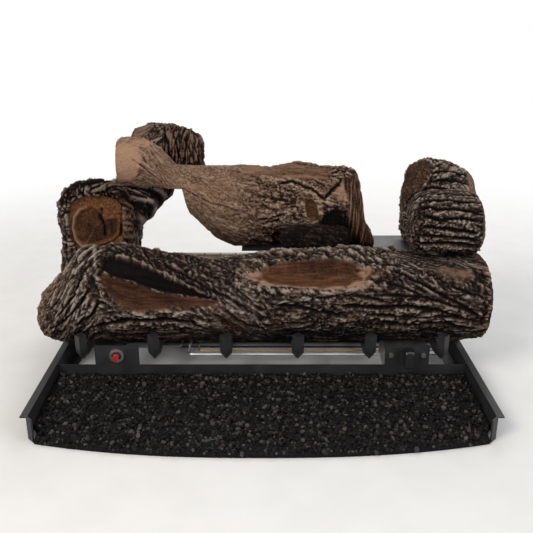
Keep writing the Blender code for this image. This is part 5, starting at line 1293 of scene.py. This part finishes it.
# Crushed lava rock: near-black brown to charcoal grey, each stone a shade of its own, with
# pits finer than a millimetre and a little sparkle on its broken faces
def makeLavaMaterial():
    material, tree, shader, place = newMaterial("Crushed lava rock", 0.14)
    shade = addNode(tree, "Attribute", attribute_name="shade").outputs["Fac"]
    pits = {"Vector": place, "Scale": 1 / (1.1 * mm), "Detail": 4, "Roughness": 0.7}
    pits = addNode(tree, "TexNoise", pits)
    level = addNode(tree, "Math", (shade, 0.65), operation="MULTIPLY")
    level = addNode(tree, "Math", (pits, 0.45, level), operation="MULTIPLY_ADD")
    colours = ("#070606", "#121010", "#221f1e", "#5a5552")
    colour = setStops(addNode(tree, "ValToRGB", (level,)), (0.20, 0.52, 0.72, 0.95), colours)
    dull = addNode(tree, "MapRange", {"Value": pits, "To Min": 0.90, "To Max": 0.50})
    finishShader(tree, shader, colour, dull, pits, 0.8, 0.0006)
    return material


lavaMaterial = makeLavaMaterial()
makeStones(lavaRock)
bed = frame["nodes"]["lava_rock_bed"]
bed.data.materials.clear()
bed.data.materials.append(lavaMaterial)

studio = {
    "cameraPlace": (0, -0.996, 0.489),
    "cameraTilt": 70,
    "lens": 48.63,
    "shiftX": 0.0084,
    "floorHalf": 6,
    "floorLevel": -0.0006,
    "floorTints": ("#d9d8d6", "#dcdbd9"),
    "fade": (0.55, 1.3),  # metres from the middle between which the floor turns white
    "worldLight": 0.50,
    "lampsAim": (0, 0, 0.12),
    "lamps": {
        "key": {"place": (-1.1, -1.3, 1.5), "size": 0.9, "power": 30, "tint": "#fffaf2"},
        "fill": {"place": (1.4, -1.0, 0.9), "size": 1.2, "power": 13, "tint": "#f4f8ff"},
        "rim": {"place": (0.3, 1.5, 1.5), "size": 1.0, "power": 18, "tint": "#ffffff"},
    },
}


# 1 for rays of any of these kinds
def rayShare(tree, *kinds):
    path = addNode(tree, "LightPath")
    seen = path.outputs[kinds[0]]
    for kind in kinds[1:]:
        seen = addNode(tree, "Math", (seen, path.outputs[kind]), operation="MAXIMUM")
    return seen


# A plain floor whose diffuse colour takes the shadow, a white world behind it, three soft lamps
def makeStudio(look):
    half, level = look["floorHalf"], look["floorLevel"]
    corners = [(-half, -half, level), (half, -half, level), (half, half, level), (-half, half, level)]
    floor = arrayPiece("studioFloor", corners, [0, 1, 2, 3], [4], smooth=False)
    material, tree, shader, place = newMaterial("Pale floor", 0.2)
    shader.inputs["Roughness"].default_value = 0.8
    cloud = {"Vector": place, "Scale": 1 / (60 * mm), "Detail": 2, "Roughness": 0.55}
    cloud = addNode(tree, "TexNoise", cloud)
    tint = setStops(addNode(tree, "ValToRGB", (cloud,)), (0.4, 0.6), look["floorTints"])
    tree.links.new(tint.outputs[0], shader.inputs["Base Color"])
    reach = addNode(tree, "VectorMath", (place,), operation="LENGTH").outputs["Value"]
    near, far = look["fade"]
    fade = {"Value": reach, "From Min": near, "From Max": far}
    fade = addNode(tree, "MapRange", fade, interpolation_type="SMOOTHSTEP")
    seen = rayShare(tree, "Is Camera Ray", "Is Glossy Ray")
    share = addNode(tree, "Math", (fade, seen), operation="MULTIPLY")
    white = addNode(tree, "Emission", {"Color": (1, 1, 1, 1), "Strength": 1.0})
    mixed = addNode(tree, "MixShader", (share, shader, white))
    tree.links.new(mixed.outputs[0], tree.nodes["Material Output"].inputs["Surface"])
    floor.data.materials.append(material)
    world = bpy.data.worlds.new("Studio")
    bpy.context.scene.world = world
    world.use_nodes = True
    tree = world.node_tree
    seen = rayShare(tree, "Is Camera Ray", "Is Glossy Ray", "Is Transmission Ray")
    light = addNode(tree, "MapRange", {"Value": seen, "To Min": look["worldLight"], "To Max": 1.0})
    background = tree.nodes["Background"]
    background.inputs["Color"].default_value = (1, 1, 1, 1)
    tree.links.new(light.outputs[0], background.inputs["Strength"])
    for name, lamp in look["lamps"].items():
        data = bpy.data.lights.new(name, "AREA")
        data.size, data.energy, data.color = lamp["size"], lamp["power"], hexColour(lamp["tint"])[:3]
        holder = bpy.data.objects.new(name, data)
        holder.location = lamp["place"]
        toward = Vector(look["lampsAim"]) - Vector(lamp["place"])
        holder.rotation_euler = toward.to_track_quat("-Z", "Y").to_euler()
        bpy.context.scene.collection.objects.link(holder)
    camera = bpy.data.cameras.new("camera")
    camera.lens, camera.sensor_width, camera.shift_x = look["lens"], 36, look["shiftX"]
    camera.clip_start = 0.01
    eye = bpy.data.objects.new("camera", camera)
    eye.location, eye.rotation_euler = look["cameraPlace"], (math.radians(look["cameraTilt"]), 0, 0)
    bpy.context.scene.collection.objects.link(eye)
    bpy.context.scene.camera = eye
    bpy.context.scene.view_settings.view_transform = "Standard"


makeStudio(studio)
print("studio")
